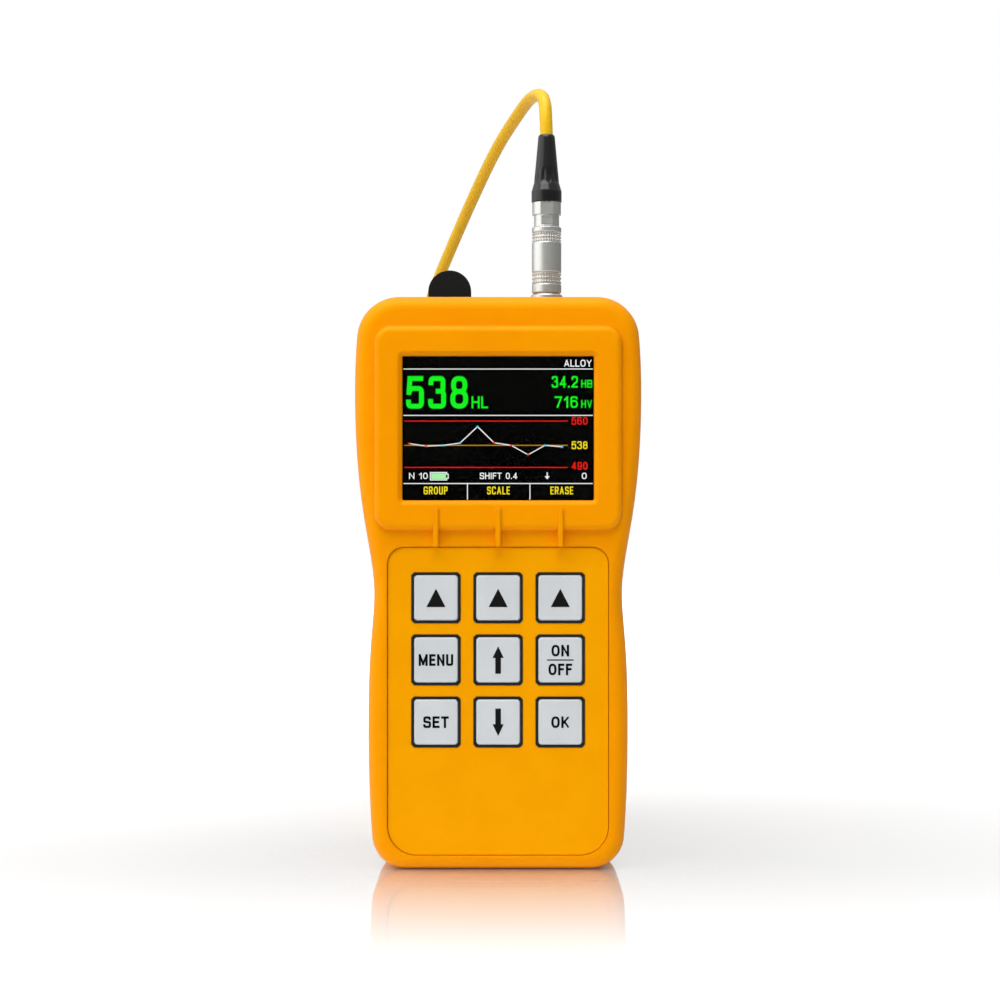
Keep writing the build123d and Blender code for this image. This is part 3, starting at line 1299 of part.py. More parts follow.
def corner_radii(points):
    """Radius of each corner's arc: a set share of its shorter run over the tangent of half its turn."""
    corners = [Vector(*point) for point in points]
    radii = []
    for before, corner, after in zip(corners, corners[1:], corners[2:]):
        arriving = corner - before
        leaving = after - corner
        half_turn = radians(arriving.get_angle(leaving)) / 2
        radii.append(ARC_SHARE * min(arriving.length, leaving.length) / tan(half_turn))
    return radii


def cable(name, points):
    """Round tube along straight runs joined by tangent arcs; prints its radii and volume."""
    radii = corner_radii(points)
    with BuildPart() as tube:
        with BuildLine():
            route = FilletPolyline(*points, radius=radii)
        with BuildSketch(Plane(origin=route @ 0, z_dir=route % 0)):
            Circle(CABLE_DIAMETER / 2)
        sweep()
    length = route.length
    expected = pi * CABLE_DIAMETER**2 / 4 * length
    print(name, "radii", [round(radius, 1) for radius in radii])
    print(name, "length", round(length, 1), "volume", round(tube.part.volume, 1), "of", round(expected, 1))
    keep(name, tube.part)
    return length


# Cable: up from the plug, over and down behind the tester, into the coil and on to the far plug
plug_exit = (CONNECTOR_OFFSET, MIDDLE_Y, NOSE_TIP + RELIEF_END)
split = tuple((a + b) / 2 for a, b in zip(CABLE_FALL[RISE_POINT_COUNT - 1], CABLE_FALL[RISE_POINT_COUNT]))
cable_length = cable("cable_rise", (plug_exit, *CABLE_FALL[:RISE_POINT_COUNT], split))
cable_length += cable("cable_tail", (split, *CABLE_FALL[RISE_POINT_COUNT:]))
cable_length += cable("cable_lead", CABLE_LEAD)

# Coil: the outer shape of its wound turns
coil_width = COIL_TURNS_WIDE * CABLE_DIAMETER
coil_height = COIL_TURNS_HIGH * CABLE_DIAMETER
coil_radius = COIL_MIDDLE_DIAMETER / 2
coil_lift = TIE_THICKNESS + TIE_GAP
coil_axis = Axis((*COIL_CENTRE, 0), (0, 0, 1))
with BuildPart() as cable_coil:
    with BuildSketch(axis_plane(*COIL_CENTRE, 0)) as section:
        with Locations((coil_radius, coil_lift + coil_height / 2)):
            Rectangle(coil_width, coil_height)
        chamfer(section.vertices(), COIL_BEVEL)
    revolve(axis=coil_axis)
keep("cable_coil", cable_coil.part)
cable_length += pi * COIL_MIDDLE_DIAMETER * COIL_TURNS_WIDE * COIL_TURNS_HIGH
print("cable in all", round(cable_length))

# Tie: flat band once round the coil's turns
tie_start = radians(TIE_ANGLE)
tie_arc = TIE_WIDTH / coil_radius * 180 / pi
tie_plane = Plane(
    origin=(*COIL_CENTRE, 0),
    x_dir=(cos(tie_start), sin(tie_start), 0),
    z_dir=(sin(tie_start), -cos(tie_start), 0),
)
with BuildPart() as coil_tie:
    with BuildSketch(tie_plane):
        with Locations((coil_radius, coil_lift + coil_height / 2)):
            for grow, mode in ((TIE_GAP + TIE_THICKNESS, Mode.ADD), (TIE_GAP, Mode.SUBTRACT)):
                corner = COIL_BEVEL + grow
                RectangleRounded(coil_width + 2 * grow, coil_height + 2 * grow, corner, mode=mode)
    revolve(axis=coil_axis, revolution_arc=tie_arc)
keep("coil_tie", coil_tie.part)

for name, part in pieces.items():
    export_step(part, f"parts/{name}.step")
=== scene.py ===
"""Hand-held rebound hardness tester: finishes, key marks, screen picture, plugs, cable and studio."""

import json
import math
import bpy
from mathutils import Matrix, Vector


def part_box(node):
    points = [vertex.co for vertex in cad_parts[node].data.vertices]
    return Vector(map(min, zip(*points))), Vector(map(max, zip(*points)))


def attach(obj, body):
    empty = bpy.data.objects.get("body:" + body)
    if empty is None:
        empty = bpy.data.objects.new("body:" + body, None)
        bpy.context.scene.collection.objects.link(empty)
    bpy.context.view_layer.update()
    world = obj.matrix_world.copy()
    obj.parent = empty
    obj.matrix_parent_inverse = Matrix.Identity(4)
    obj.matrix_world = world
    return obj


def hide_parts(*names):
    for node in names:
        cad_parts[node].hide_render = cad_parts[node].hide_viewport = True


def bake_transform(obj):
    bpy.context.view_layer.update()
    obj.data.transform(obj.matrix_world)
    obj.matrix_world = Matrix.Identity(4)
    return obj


bl_info = {
    "name": "Rebound hardness tester",
    "version": (1, 0, 0),
    "blender": (4, 5, 0),
    "location": "3D View > Sidebar > Tester",
    "description": "Finishes, key marks, screen picture, plugs, cable and studio for a hand-held hardness tester",
    "category": "Object",
}

import bmesh
import bpy
import numpy as np
from bpy.props import FloatProperty, FloatVectorProperty, IntProperty, PointerProperty

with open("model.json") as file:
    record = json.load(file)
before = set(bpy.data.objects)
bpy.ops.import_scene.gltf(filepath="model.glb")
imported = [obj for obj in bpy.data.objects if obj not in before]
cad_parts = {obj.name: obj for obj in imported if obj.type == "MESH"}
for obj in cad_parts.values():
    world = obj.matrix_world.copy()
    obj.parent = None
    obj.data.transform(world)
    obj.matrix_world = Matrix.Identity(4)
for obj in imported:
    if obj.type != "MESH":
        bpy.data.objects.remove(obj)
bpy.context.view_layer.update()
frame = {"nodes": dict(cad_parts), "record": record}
NODES = frame["nodes"]
MM = 0.001
# Body and material slot of each CAD node
BODY_OF = {node: body for body, nodes in frame["record"]["behaviour"]["bodies"].items() for node in nodes}
SLOT_OF = {entry["node"]: entry["material_slot"] for entry in frame["record"]["subparts"]}
# Pieces of the plugs that the connector's operator makes, by name, for the cable that carries them
MADE = {}


# ---- colour, nodes and materials


def linear(code):
    """Linear RGBA of an sRGB hex code: c / 12.92 up to 0.04045, else ((c + 0.055) / 1.055) ** 2.4.

    A colour out of the settings is linear already and is passed on as it is."""
    if not isinstance(code, str):
        return tuple(code)
    channels = [int(code[i : i + 2], 16) / 255 for i in (0, 2, 4)]
    return tuple(c / 12.92 if c <= 0.04045 else ((c + 0.055) / 1.055) ** 2.4 for c in channels) + (1.0,)


def add_node(tree, kind, settings=None, links=None):
    """Adds one shader node of a kind. Settings are its own attributes or else values of its sockets.

    Links feed its sockets, each from the socket given or from the first output of the node given."""
    node = tree.nodes.new("ShaderNode" + kind)
    for name, value in (settings or {}).items():
        if isinstance(name, str) and hasattr(node, name):
            setattr(node, name, value)
        else:
            node.inputs[name].default_value = value
    for name, source in (links or {}).items():
        output = source if isinstance(source, bpy.types.NodeSocket) else source.outputs[0]
        tree.links.new(output, node.inputs[name])
    return node


def new_finish(name, **sockets):
    """New material with one Principled shader, its sockets set; returns the material, its tree and the shader."""
    material = bpy.data.materials.new(name)
    material.use_nodes = True
    tree = material.node_tree
    tree.nodes.clear()
    settings = {key.replace("_", " "): value for key, value in sockets.items()}
    shader = add_node(tree, "BsdfPrincipled", settings)
    add_node(tree, "OutputMaterial", links={"Surface": shader})
    return material, tree, shader


def roughen(tree, shader, pattern, spread, strength, depth, edge):
    """Lets a pattern set the roughness within the spread (low, high) and bump the surface by up to depth.

    With an edge radius, the shading rounds the mesh's edges by it."""
    matt = add_node(tree, "MapRange", {"To Min": spread[0], "To Max": spread[1]}, {"Value": pattern})
    tree.links.new(matt.outputs["Result"], shader.inputs["Roughness"])
    bump = add_node(tree, "Bump", {"Strength": strength, "Distance": depth}, {"Height": pattern})
    if edge > 0:
        soft = add_node(tree, "Bevel", {"samples": 4, "Radius": edge})
        tree.links.new(soft.outputs["Normal"], bump.inputs["Normal"])
    tree.links.new(bump.outputs["Normal"], shader.inputs["Normal"])


def moulded(name, code, shade, rough, grain, depth, patch=0.012, edge=0.0, **sockets):
    """Moulded plastic or rubber: fine pitted grain, slow drift from the colour to its shade, soft edges.

    Grain and patch are sizes in metres; the noise scale is one over the size."""
    material, tree, shader = new_finish(name, Roughness=rough, **sockets)
    place = add_node(tree, "TexCoord").outputs["Object"]
    drift = add_node(tree, "TexNoise", {"Scale": 1 / patch, "Detail": 3.0}, {"Vector": place})
    tone = add_node(tree, "ValToRGB", links={"Fac": drift})
    for element, position, tint in zip(tone.color_ramp.elements, (0.3, 0.65), (shade, code)):
        element.position = position
        element.color = linear(tint)
    tree.links.new(tone.outputs["Color"], shader.inputs["Base Color"])
    pits = add_node(tree, "TexNoise", {"Scale": 1 / grain, "Detail": 2.0}, {"Vector": place})
    roughen(tree, shader, pits, (rough - 0.05, rough + 0.07), 0.5, depth, edge)
    return material


def machined(name, code, rough, marks_per_metre, edge=0.0):
    """Turned or rolled metal: tool marks are noise squeezed along one axis, on roughness and bump.

    The marks per metre are those along X, Y and Z; many along the axis of turning make rings."""
    material, tree, shader = new_finish(name, Base_Color=linear(code), Metallic=1.0, Roughness=rough)
    place = add_node(tree, "TexCoord").outputs["Object"]
    squeezed = add_node(tree, "Mapping", {"Scale": marks_per_metre}, {"Vector": place})
    marks = add_node(tree, "TexNoise", {"Scale": 1.0, "Detail": 3.0}, {"Vector": squeezed})
    roughen(tree, shader, marks, (rough - 0.06, rough + 0.08), 0.05, 0.00001, edge)
    return material


def glowing(name, code, strength):
    """Lit picture elements of the display: dark body, colour given off; slightly uneven like a backlight."""
    dark = {"Base_Color": linear("060606"), "Roughness": 0.5, "Specular_IOR_Level": 0.0}
    material, tree, shader = new_finish(name, Emission_Color=linear(code), Emission_Strength=strength, **dark)
    place = add_node(tree, "TexCoord").outputs["Object"]
    cells = add_node(tree, "TexNoise", {"Scale": 90.0, "Detail": 1.0}, {"Vector": place})
    spread = {"To Min": 0.9 * strength, "To Max": 1.05 * strength}
    level = add_node(tree, "MapRange", spread, {"Value": cells})
    tree.links.new(level.outputs["Result"], shader.inputs["Emission Strength"])
    return material


def circuit_board(name, code, track):
    """Glass-fibre board under green solder resist: tracks show as lighter lines 0.5 mm wide and 3 mm apart.

    The brick pattern's unit is 12 mm: rows 0.25 high, bricks 0.5 wide, and a joint 0.02 deep round each."""
    material, tree, shader = new_finish(name, Roughness=0.35)
    place = add_node(tree, "TexCoord").outputs["Object"]
    upright = add_node(tree, "Mapping", {"Rotation": (math.pi / 2, 0, 0)}, {"Vector": place})
    tints = {"Color1": linear(code), "Color2": linear(code), "Mortar": linear(track)}
    sizes = {"offset": 0.37, "Scale": 1 / 0.012, "Mortar Size": 0.02, "Brick Width": 0.5, "Row Height": 0.25}
    lines = add_node(tree, "TexBrick", {**tints, **sizes}, {"Vector": upright})
    tree.links.new(lines.outputs["Color"], shader.inputs["Base Color"])
    return material


def cell_can(name):
    """Printed foil sleeve on an AA-size cell, by height: dark, with two pale rings, and bare metal at both ends."""
    material, tree, shader = new_finish(name, Metallic=0.6, Roughness=0.3)
    place = add_node(tree, "TexCoord").outputs["Object"]
    height = add_node(tree, "SeparateXYZ", links={"Vector": place}).outputs["Z"]
    low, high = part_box("battery_left")
    along = add_node(tree, "MapRange", {"From Min": low[2], "From Max": high[2]}, {"Value": height})
    rings = add_node(tree, "ValToRGB", links={"Fac": along})
    metal, sleeve, ring = linear("C9CCCE"), linear("39434E"), linear("D5D8DA")
    ramp = rings.color_ramp
    ramp.interpolation = "CONSTANT"
    ramp.elements[0].color = metal
    ramp.elements[1].position = 0.05
    ramp.elements[1].color = sleeve
    for position, colour in ((0.2, ring), (0.24, sleeve), (0.78, ring), (0.82, sleeve), (0.94, metal)):
        ramp.elements.new(position).color = colour
    tree.links.new(rings.outputs["Color"], shader.inputs["Base Color"])
    return material


def clear_lens(name):
    """Acrylic window with an anti-reflective coat: clear, with a faint drift in its polish.

    The low IOR stands for the coat, which takes away most of acrylic's 4% reflection at each face."""
    clear = {"Base_Color": linear("FFFFFF"), "Roughness": 0.02, "IOR": 1.05, "Transmission_Weight": 1.0}
    material, tree, shader = new_finish(name, **clear)
    place = add_node(tree, "TexCoord").outputs["Object"]
    wave = add_node(tree, "TexNoise", {"Scale": 60.0, "Detail": 1.0}, {"Vector": place})
    bump = add_node(tree, "Bump", {"Strength": 0.05, "Distance": 0.00005}, {"Height": wave})
    tree.links.new(bump.outputs["Normal"], shader.inputs["Normal"])
    return material


def woven_strap(name, code, thread):
    """Woven hook-and-loop tape: threads cross at the given pitch on the strap's own UV map, in metres."""
    material, tree, shader = new_finish(name, Base_Color=linear(code), Roughness=0.85, Sheen_Weight=0.3)
    cloth = add_node(tree, "UVMap", {"uv_map": "Surface"})
    weave = add_node(tree, "TexChecker", {"Scale": 1 / thread}, {"Vector": cloth}).outputs["Fac"]
    bump = add_node(tree, "Bump", {"Strength": 0.8, "Distance": 0.0001}, {"Height": weave})
    tree.links.new(bump.outputs["Normal"], shader.inputs["Normal"])
    return material


def dress(names, material):
    """Gives each named CAD node its finish, on the object's own material slots."""
    for name in names:
        node = NODES[name]
        if not node.material_slots:
            node.data.materials.append(material)
        for slot in node.material_slots:
            slot.link = "OBJECT"
            slot.material = material


# ---- surfaces


def grid_faces(rows, columns, close_rows, close_columns):
    """Quads of a grid of points numbered row by row, with each corner's (column, row) share for the UV map."""
    r, c = np.meshgrid(
        np.arange(rows if close_rows else rows - 1),
        np.arange(columns if close_columns else columns - 1),
        indexing="ij",
    )
    corners = [(r, c), (r, c + 1), (r + 1, c + 1), (r + 1, c)]
    faces = np.stack([(a % rows) * columns + b % columns for a, b in corners], axis=-1).reshape(-1, 4)
    shares = np.stack([np.stack([b / columns, a / rows], axis=-1) for a, b in corners], axis=-2)
    return faces, shares.reshape(-1, 2)


def tidy_mesh(mesh, sharp=35.0):
    """Merges doubles, turns faces outwards, shades smooth and keeps edges over the angle sharp."""
    work = bmesh.new()
    work.from_mesh(mesh)
    bmesh.ops.remove_doubles(work, verts=work.verts, dist=1e-7)
    bmesh.ops.dissolve_degenerate(work, edges=work.edges, dist=1e-8)
    bmesh.ops.recalc_face_normals(work, faces=work.faces)
    work.to_mesh(mesh)
    work.free()
    mesh.shade_smooth()
    mesh.set_sharp_from_angle(angle=math.radians(sharp))


def surface_mesh(name, points, close_rows=False, close_columns=False, uv_size=(1.0, 1.0), sharp=35.0):
    """Mesh of a rows x columns array of points; the UV map runs over uv_size (around, along)."""
    rows, columns = points.shape[:2]
    faces, shares = grid_faces(rows, columns, close_rows, close_columns)
    mesh = bpy.data.meshes.new(name)
    mesh.from_pydata(points.reshape(-1, 3).tolist(), [], faces.tolist())
    layer = mesh.uv_layers.new(name="Surface")
    layer.data.foreach_set("uv", (shares * np.array(uv_size)).astype(np.float32).ravel())
    tidy_mesh(mesh, sharp)
    return mesh


def add_piece(name, mesh, material, body, stands_for=()):
    """Puts a finished mesh in the scene at the origin, riding on its body, for the CAD nodes that it replaces."""
    piece = bpy.data.objects.new(name, mesh)
    bpy.context.scene.collection.objects.link(piece)
    mesh.materials.clear()
    mesh.materials.append(material)
    if body:
        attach(piece, body)
    if stands_for:
        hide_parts(*stands_for)
    return piece


def profile_points(corners, step):
    """Points along a closed run of (radius, station) corners, no further apart than step."""
    corners = np.array(corners, float)
    ends = np.roll(corners, -1, axis=0)
    counts = np.maximum(1, np.ceil(np.linalg.norm(ends - corners, axis=1) / step).astype(int))
    return np.concatenate(
        [a + (b - a) * np.linspace(0, 1, n, endpoint=False)[:, None] for a, b, n in zip(corners, ends, counts)]
    )


def turned_surface(corners, step, around, relief):
    """Turned surface: (r cos t, r sin t, s) with (r, s) along the profile and relief(r, s, t) taken off r."""
    run = profile_points(corners, step)
    turn, radius = np.meshgrid(np.linspace(0, 2 * math.pi, around, endpoint=False), run[:, 0])
    station = np.broadcast_to(run[:, 1:], turn.shape)
    radius = radius - relief(radius, station, turn)
    return np.stack([radius * np.cos(turn), radius * np.sin(turn), station], axis=-1)


def stood_along(points, origin, side, along):
    """Moves points from the origin: local X comes to lie along side, and local Z along the given axis."""
    side, along = np.array(side, float), np.array(along, float)
    return points @ np.stack([side, np.cross(along, side), along]) + np.array(origin, float)


def unit(vectors):
    """Each row made one long: v / |v|."""
    return vectors / np.linalg.norm(vectors, axis=1)[:, None]


def smooth_step(value, start, end):
    """0 before start, 1 after end, 3t^2 - 2t^3 between them."""
    t = np.clip((value - start) / (end - start), 0, 1)
    return t * t * (3 - 2 * t)


def frames_along(path, reference):
    """Two unit normals at each point of a path with unit tangent t: n = reference x t, made unit, and t x n."""
    tangent = unit(np.gradient(path, axis=0))
    normal = unit(np.cross(reference, tangent))
    return normal, np.cross(tangent, normal)


def flat_plate(outline, front, back):
    """Closed plate of an (x, z) outline between two depths, as points and faces."""
    outline = np.array(outline, float)
    count = len(outline)
    ahead = np.insert(outline, 1, front, axis=1)
    behind = np.insert(outline, 1, back, axis=1)
    around = np.arange(count)
    sides = np.stack([around, (around + 1) % count, (around + 1) % count + count, around + count], axis=1)
    faces = [list(range(count)), list(range(2 * count - 1, count - 1, -1))] + sides.tolist()
    return np.concatenate([ahead, behind]), faces


def ribbon(path, width, front, back, box=None, reach=0.0):
    """Closed plate along an (x, z) path: its edges are the path plus and minus width / 2 along mitred normals.

    A path that ends where it starts closes into a ring; open ends go on by reach, and a box clips the corners
    to (x0, z0, x1, z1)."""
    path = np.array(path, float)
    ring = np.allclose(path[0], path[-1])
    run = path[:-1] if ring else path
    ahead = np.roll(run, -1, axis=0) - run
    behind = run - np.roll(run, 1, axis=0)
    if not ring:
        ahead[-1], behind[0] = behind[-1], ahead[0]
    ahead, behind = unit(ahead), unit(behind)
    if not ring:
        run = np.concatenate([run[:1] - reach * ahead[:1], run[1:-1], run[-1:] + reach * behind[-1:]])
    out = np.stack([-(ahead + behind)[:, 1], (ahead + behind)[:, 0]], axis=1)
    out /= np.maximum(np.linalg.norm(out, axis=1), 1e-9)[:, None]
    mitre = np.maximum(np.abs(np.sum(out * np.stack([-ahead[:, 1], ahead[:, 0]], axis=1), axis=1)), 0.5)
    out *= width / 2 / mitre[:, None]
    edges = np.stack([run - out, run + out])
    if box is not None:
        edges = np.clip(edges, np.array(box[:2]), np.array(box[2:]))
    flat = edges.reshape(-1, 2)
    points = np.concatenate([np.insert(flat, 1, front, axis=1), np.insert(flat, 1, back, axis=1)])
    # Points run along one edge and then the other, in front and then behind
    count = len(run)
    other, rear = count, 2 * count
    first = np.arange(count if ring else count - 1)
    second = (first + 1) % count
    quads = [
        (first, second, second + other, first + other),
        (first + rear, first + other + rear, second + other + rear, second + rear),
        (first, first + rear, second + rear, second),
        (first + other, second + other, second + other + rear, first + other + rear),
    ]
    faces = np.concatenate([np.stack(quad, axis=1) for quad in quads]).tolist()
    if not ring:
        for end, way in ((0, 1), (count - 1, -1)):
            faces.append([end, end + other, end + other + rear, end + rear][::way])
    return points, faces


def bar(x0, z0, x1, z1, width, front, back):
    """Plate along a line from (x0, z0) to (x1, z1), width wide."""
    return ribbon([(x0, z0), (x1, z1)], width, front, back)


def dot(x, z, radius, front, back, count=12):
    """Round plate: (x + r cos t, z + r sin t)."""
    turn = np.linspace(0, 2 * math.pi, count, endpoint=False)
    return flat_plate(np.stack([x + radius * np.cos(turn), z + radius * np.sin(turn)], axis=1), front, back)


def rounded_run(points, rounds=3):
    """Corner cutting: each round puts points at 1/4 and 3/4 of every run and keeps the two ends."""
    run = np.array(points, float)
    for _ in range(rounds):
        cut = np.stack([0.75 * run[:-1] + 0.25 * run[1:], 0.25 * run[:-1] + 0.75 * run[1:]], axis=1).reshape(-1, 2)
        run = np.concatenate([run[:1], cut[1:-1], run[-1:]])
    return run


def oval(x0, z0, x1, z1):
    """Closed squarish oval in a box: middle + half size x sign(c) |c| ** 0.8, with c the cosine or sine."""
    turn = np.linspace(0, 2 * math.pi, 29)
    wave = np.stack([np.cos(turn), np.sin(turn)], axis=1)
    wave[-1] = wave[0]
    half = np.array([x1 - x0, z1 - z0]) / 2
    return np.array([x0 + x1, z0 + z1]) / 2 + half * np.sign(wave) * np.abs(wave) ** 0.8


def squarish(count, half_wide, half_high, power_wide, power_high):
    """Points of a rounded rectangle, wide a sign(c) |c| ** p and high b sign(s) |s| ** q, and its outward normals."""
    turn = np.linspace(0, 2 * math.pi, count, endpoint=False)
    cosine, sine = np.cos(turn), np.sin(turn)
    wide = half_wide * np.sign(cosine) * abs(cosine) ** power_wide
    high = half_high * np.sign(sine) * abs(sine) ** power_high
    return wide, high, unit(np.stack([cosine / half_wide, sine / half_high], axis=1))


# Strokes of each letter, on the middle line of a stroke in a cell 1 wide and 1 high, and the cell's width
LINE, CURVE, OVAL = "line", "curve", "oval"
STEM = (LINE, (0, 0), (0, 1))
TOP, BASE, WAIST = (LINE, (0, 1), (1, 1)), (LINE, (0, 0), (1, 0)), (LINE, (0, 0.52), (0.86, 0.52))
BOWL = (CURVE, (0, 1), (0.6, 1), (1, 1), (1, 0.74), (1, 0.48), (0.6, 0.48), (0, 0.48))
HOOK = ((1, 0.72), (1, 1), (0.5, 1), (0, 1), (0, 0.5), (0, 0), (0.5, 0), (1, 0), (1, 0.28))
LETTERS = {
    " ": (0.35,),
    ".": (0.2, (LINE, (0.5, 0), (0.5, 0.02))),
    "A": (0.72, (LINE, (0, 0), (0.5, 1)), (LINE, (1, 0), (0.5, 1)), (LINE, (0.2, 0.3), (0.8, 0.3))),
    "B": (0.62, STEM, BOWL, (CURVE, (0, 0.52), (0.6, 0.52), (1.1, 0.52), (1.1, 0.26), (1.1, 0), (0.6, 0), (0, 0))),
    "C": (0.66, (CURVE,) + HOOK),
    "E": (0.56, STEM, TOP, WAIST, BASE),
    "F": (0.54, STEM, TOP, WAIST),
    "G": (0.68, (CURVE,) + HOOK, (LINE, (1, 0.1), (1, 0.46)), (LINE, (0.55, 0.46), (1, 0.46))),
    "H": (0.64, STEM, (LINE, (1, 0), (1, 1)), (LINE, (0, 0.52), (1, 0.52))),
    "I": (0.2, (LINE, (0.5, 0), (0.5, 1))),
    "K": (0.66, STEM, (LINE, (0, 0.32), (0.96, 1)), (LINE, (0.34, 0.56), (1, 0))),
    "L": (0.54, STEM, BASE),
    "M": (0.8, STEM, (LINE, (0, 1), (0.5, 0.08)), (LINE, (1, 1), (0.5, 0.08)), (LINE, (1, 0), (1, 1))),
    "N": (0.66, STEM, (LINE, (0, 1), (1, 0)), (LINE, (1, 0), (1, 1))),
    "O": (0.7, (OVAL, 0, 0, 1, 1)),
    "P": (0.6, STEM, BOWL),
    "R": (0.64, STEM, BOWL, (LINE, (0.5, 0.48), (1, 0))),
    "S": (
        0.62,
        (CURVE, (0.98, 0.74), (0.98, 1), (0.5, 1), (0.02, 1), (0.02, 0.74), (0.02, 0.56))
        + ((0.5, 0.52), (1, 0.48), (1, 0.26), (1, 0), (0.5, 0), (0, 0), (0, 0.28)),
    ),
    "T": (0.6, TOP, (LINE, (0.5, 0), (0.5, 1))),
    "U": (
        0.64,
        (LINE, (0, 0.36), (0, 1)),
        (LINE, (1, 0.36), (1, 1)),
        (CURVE, (0, 0.4), (0, 0), (0.5, 0), (1, 0), (1, 0.4)),
    ),
    "V": (0.68, (LINE, (0, 1), (0.5, 0)), (LINE, (1, 1), (0.5, 0))),
    "Y": (0.68, (LINE, (0, 1), (0.5, 0.46)), (LINE, (1, 1), (0.5, 0.46)), (LINE, (0.5, 0), (0.5, 0.46))),
    "0": (0.58, (OVAL, 0, 0, 1, 1)),
    "1": (0.4, (LINE, (0.8, 0), (0.8, 1)), (LINE, (0.8, 1), (0, 0.74))),
    "2": (0.58, (CURVE, (0.02, 0.7), (0.02, 1), (0.5, 1), (1, 1), (1, 0.72), (1, 0.5), (0.4, 0.32), (0, 0)), BASE),
    "3": (
        0.58,
        (CURVE, (0.03, 0.76), (0.03, 1), (0.5, 1), (0.95, 1), (0.95, 0.76), (0.95, 0.54), (0.4, 0.54)),
        (CURVE, (0.4, 0.54), (1, 0.54), (1, 0.28), (1, 0), (0.5, 0), (0, 0), (0, 0.26)),
    ),
    "4": (0.6, (LINE, (0.76, 0), (0.76, 1)), (LINE, (0.76, 1), (0, 0.26)), (LINE, (0, 0.26), (1, 0.26))),
    "5": (
        0.58,
        (LINE, (0.94, 1), (0.12, 1)),
        (LINE, (0.12, 1), (0.04, 0.5)),
        (CURVE, (0.04, 0.5), (0.2, 0.64), (0.5, 0.64), (1, 0.64), (1, 0.32), (1, 0), (0.5, 0), (0, 0), (0, 0.24)),
    ),
    "6": (0.58, (OVAL, 0, 0, 1, 0.62), (CURVE, (0.96, 0.78), (0.94, 1), (0.5, 1), (0, 1), (0, 0.5), (0, 0.3))),
    "7": (0.58, TOP, (LINE, (1, 1), (0.36, 0))),
    "8": (0.58, (OVAL, 0.06, 0.53, 0.94, 1), (OVAL, 0, 0, 1, 0.53)),
    "9": (0.58, (OVAL, 0, 0.38, 1, 1), (CURVE, (0.04, 0.22), (0.06, 0), (0.5, 0), (1, 0), (1, 0.5), (1, 0.7))),
}
# Space between two letters, as a share of a capital's height
LETTER_GAP = 0.13


def merged(chunks):
    """One (points, faces) chunk out of several."""
    starts = np.cumsum([0] + [len(points) for points, _ in chunks]).tolist()
    faces = [[i + start for i in face] for (_, part), start in zip(chunks, starts) for face in part]
    return np.concatenate([points for points, _ in chunks]), faces


def lettering(words, cap, width, x, z, front, back, align="CENTER", weight=0.2):
    """Letters as plates along their strokes; z is the baseline, cap a capital's height and weight the stroke's share.

    A stroke's point (u, v) goes to (left + t / 2 + u (cell - t), z + t / 2 + v (cap - t)), with t = weight x cap."""
    thick = weight * cap
    cells = np.array([LETTERS[letter][0] for letter in words]) * cap
    gaps = LETTER_GAP * cap * (len(words) - 1)
    cells *= (width - gaps) / cells.sum()
    left = x - {"LEFT": 0.0, "CENTER": width / 2, "RIGHT": width}[align]
    chunks = []
    for letter, cell in zip(words, cells):
        start, room = np.array([left + thick / 2, z + thick / 2]), np.array([cell - thick, cap - thick])
        box = (left, z, left + cell, z + cap)
        for kind, *places in LETTERS[letter][1:]:
            run = oval(*places) if kind == OVAL else rounded_run(places) if kind == CURVE else np.array(places, float)
            reach = thick / 2 if kind == LINE else 0.0
            chunks.append(ribbon(start + run * room, thick, front, back, box, reach))
        left += cell + LETTER_GAP * cap
    return merged(chunks)


def joined_mesh(name, chunks):
    """One mesh out of several (points, faces) chunks, its faces turned outwards."""
    points, faces = merged(chunks)
    mesh = bpy.data.meshes.new(name)
    mesh.from_pydata(points.tolist(), [], faces)
    work = bmesh.new()
    work.from_mesh(mesh)
    bmesh.ops.recalc_face_normals(work, faces=work.faces)
    work.to_mesh(mesh)
    work.free()
    return mesh


# ---- sizes and colours that a user may change


class TesterJacket(bpy.types.PropertyGroup):
    """Moulded jacket and yellow plates."""

    colour: FloatVectorProperty(
        name="Jacket colour", description="Colour of the jacket", subtype="COLOR", size=4, default=linear("FA9C00")
    )
    grain: FloatProperty(
        name="Grain", description="Size of the moulded grain", unit="LENGTH", precision=5, default=0.0003
    )


class TesterKeys(bpy.types.PropertyGroup):
    """Keys and their marks."""

    cap_height: FloatProperty(
        name="Letter height", description="Height of a capital on a key", unit="LENGTH", precision=5, default=0.0031
    )
    ink: FloatProperty(
        name="Ink thickness", description="How far the marks stand proud", unit="LENGTH", precision=6, default=0.00003
    )


class TesterScreen(bpy.types.PropertyGroup):
    """Picture on the display."""

    line: FloatProperty(
        name="Line width", description="Width of the thin lines", unit="LENGTH", precision=5, default=0.00024
    )
    glow: FloatProperty(name="Brightness", description="Strength of the lit picture", default=1.0, min=0.0)


class TesterConnector(bpy.types.PropertyGroup):
    """Push-pull plugs."""

    knurls: IntProperty(name="Knurls", description="Blocks round the pull sleeve", default=34, min=6)
    knurl_depth: FloatProperty(
        name="Knurl depth", description="Depth of the knurling", unit="LENGTH", precision=5, default=0.00025
    )
    flutes: IntProperty(name="Flutes", description="Flutes round the bend relief", default=12, min=3)
    flute_depth: FloatProperty(
        name="Flute depth", description="Depth of the flutes", unit="LENGTH", precision=5, default=0.0003
    )


class TesterCable(bpy.types.PropertyGroup):
    """Probe cable and its coil."""

    diameter: FloatProperty(
        name="Diameter", description="Diameter of the cable", unit="LENGTH", precision=5, default=0.0035
    )
    length: FloatProperty(name="Length", description="Length of the cable", unit="LENGTH", default=1.2)
    coil: FloatProperty(
        name="Coil diameter", description="Across the middle of the coil's turns", unit="LENGTH", default=0.038
    )


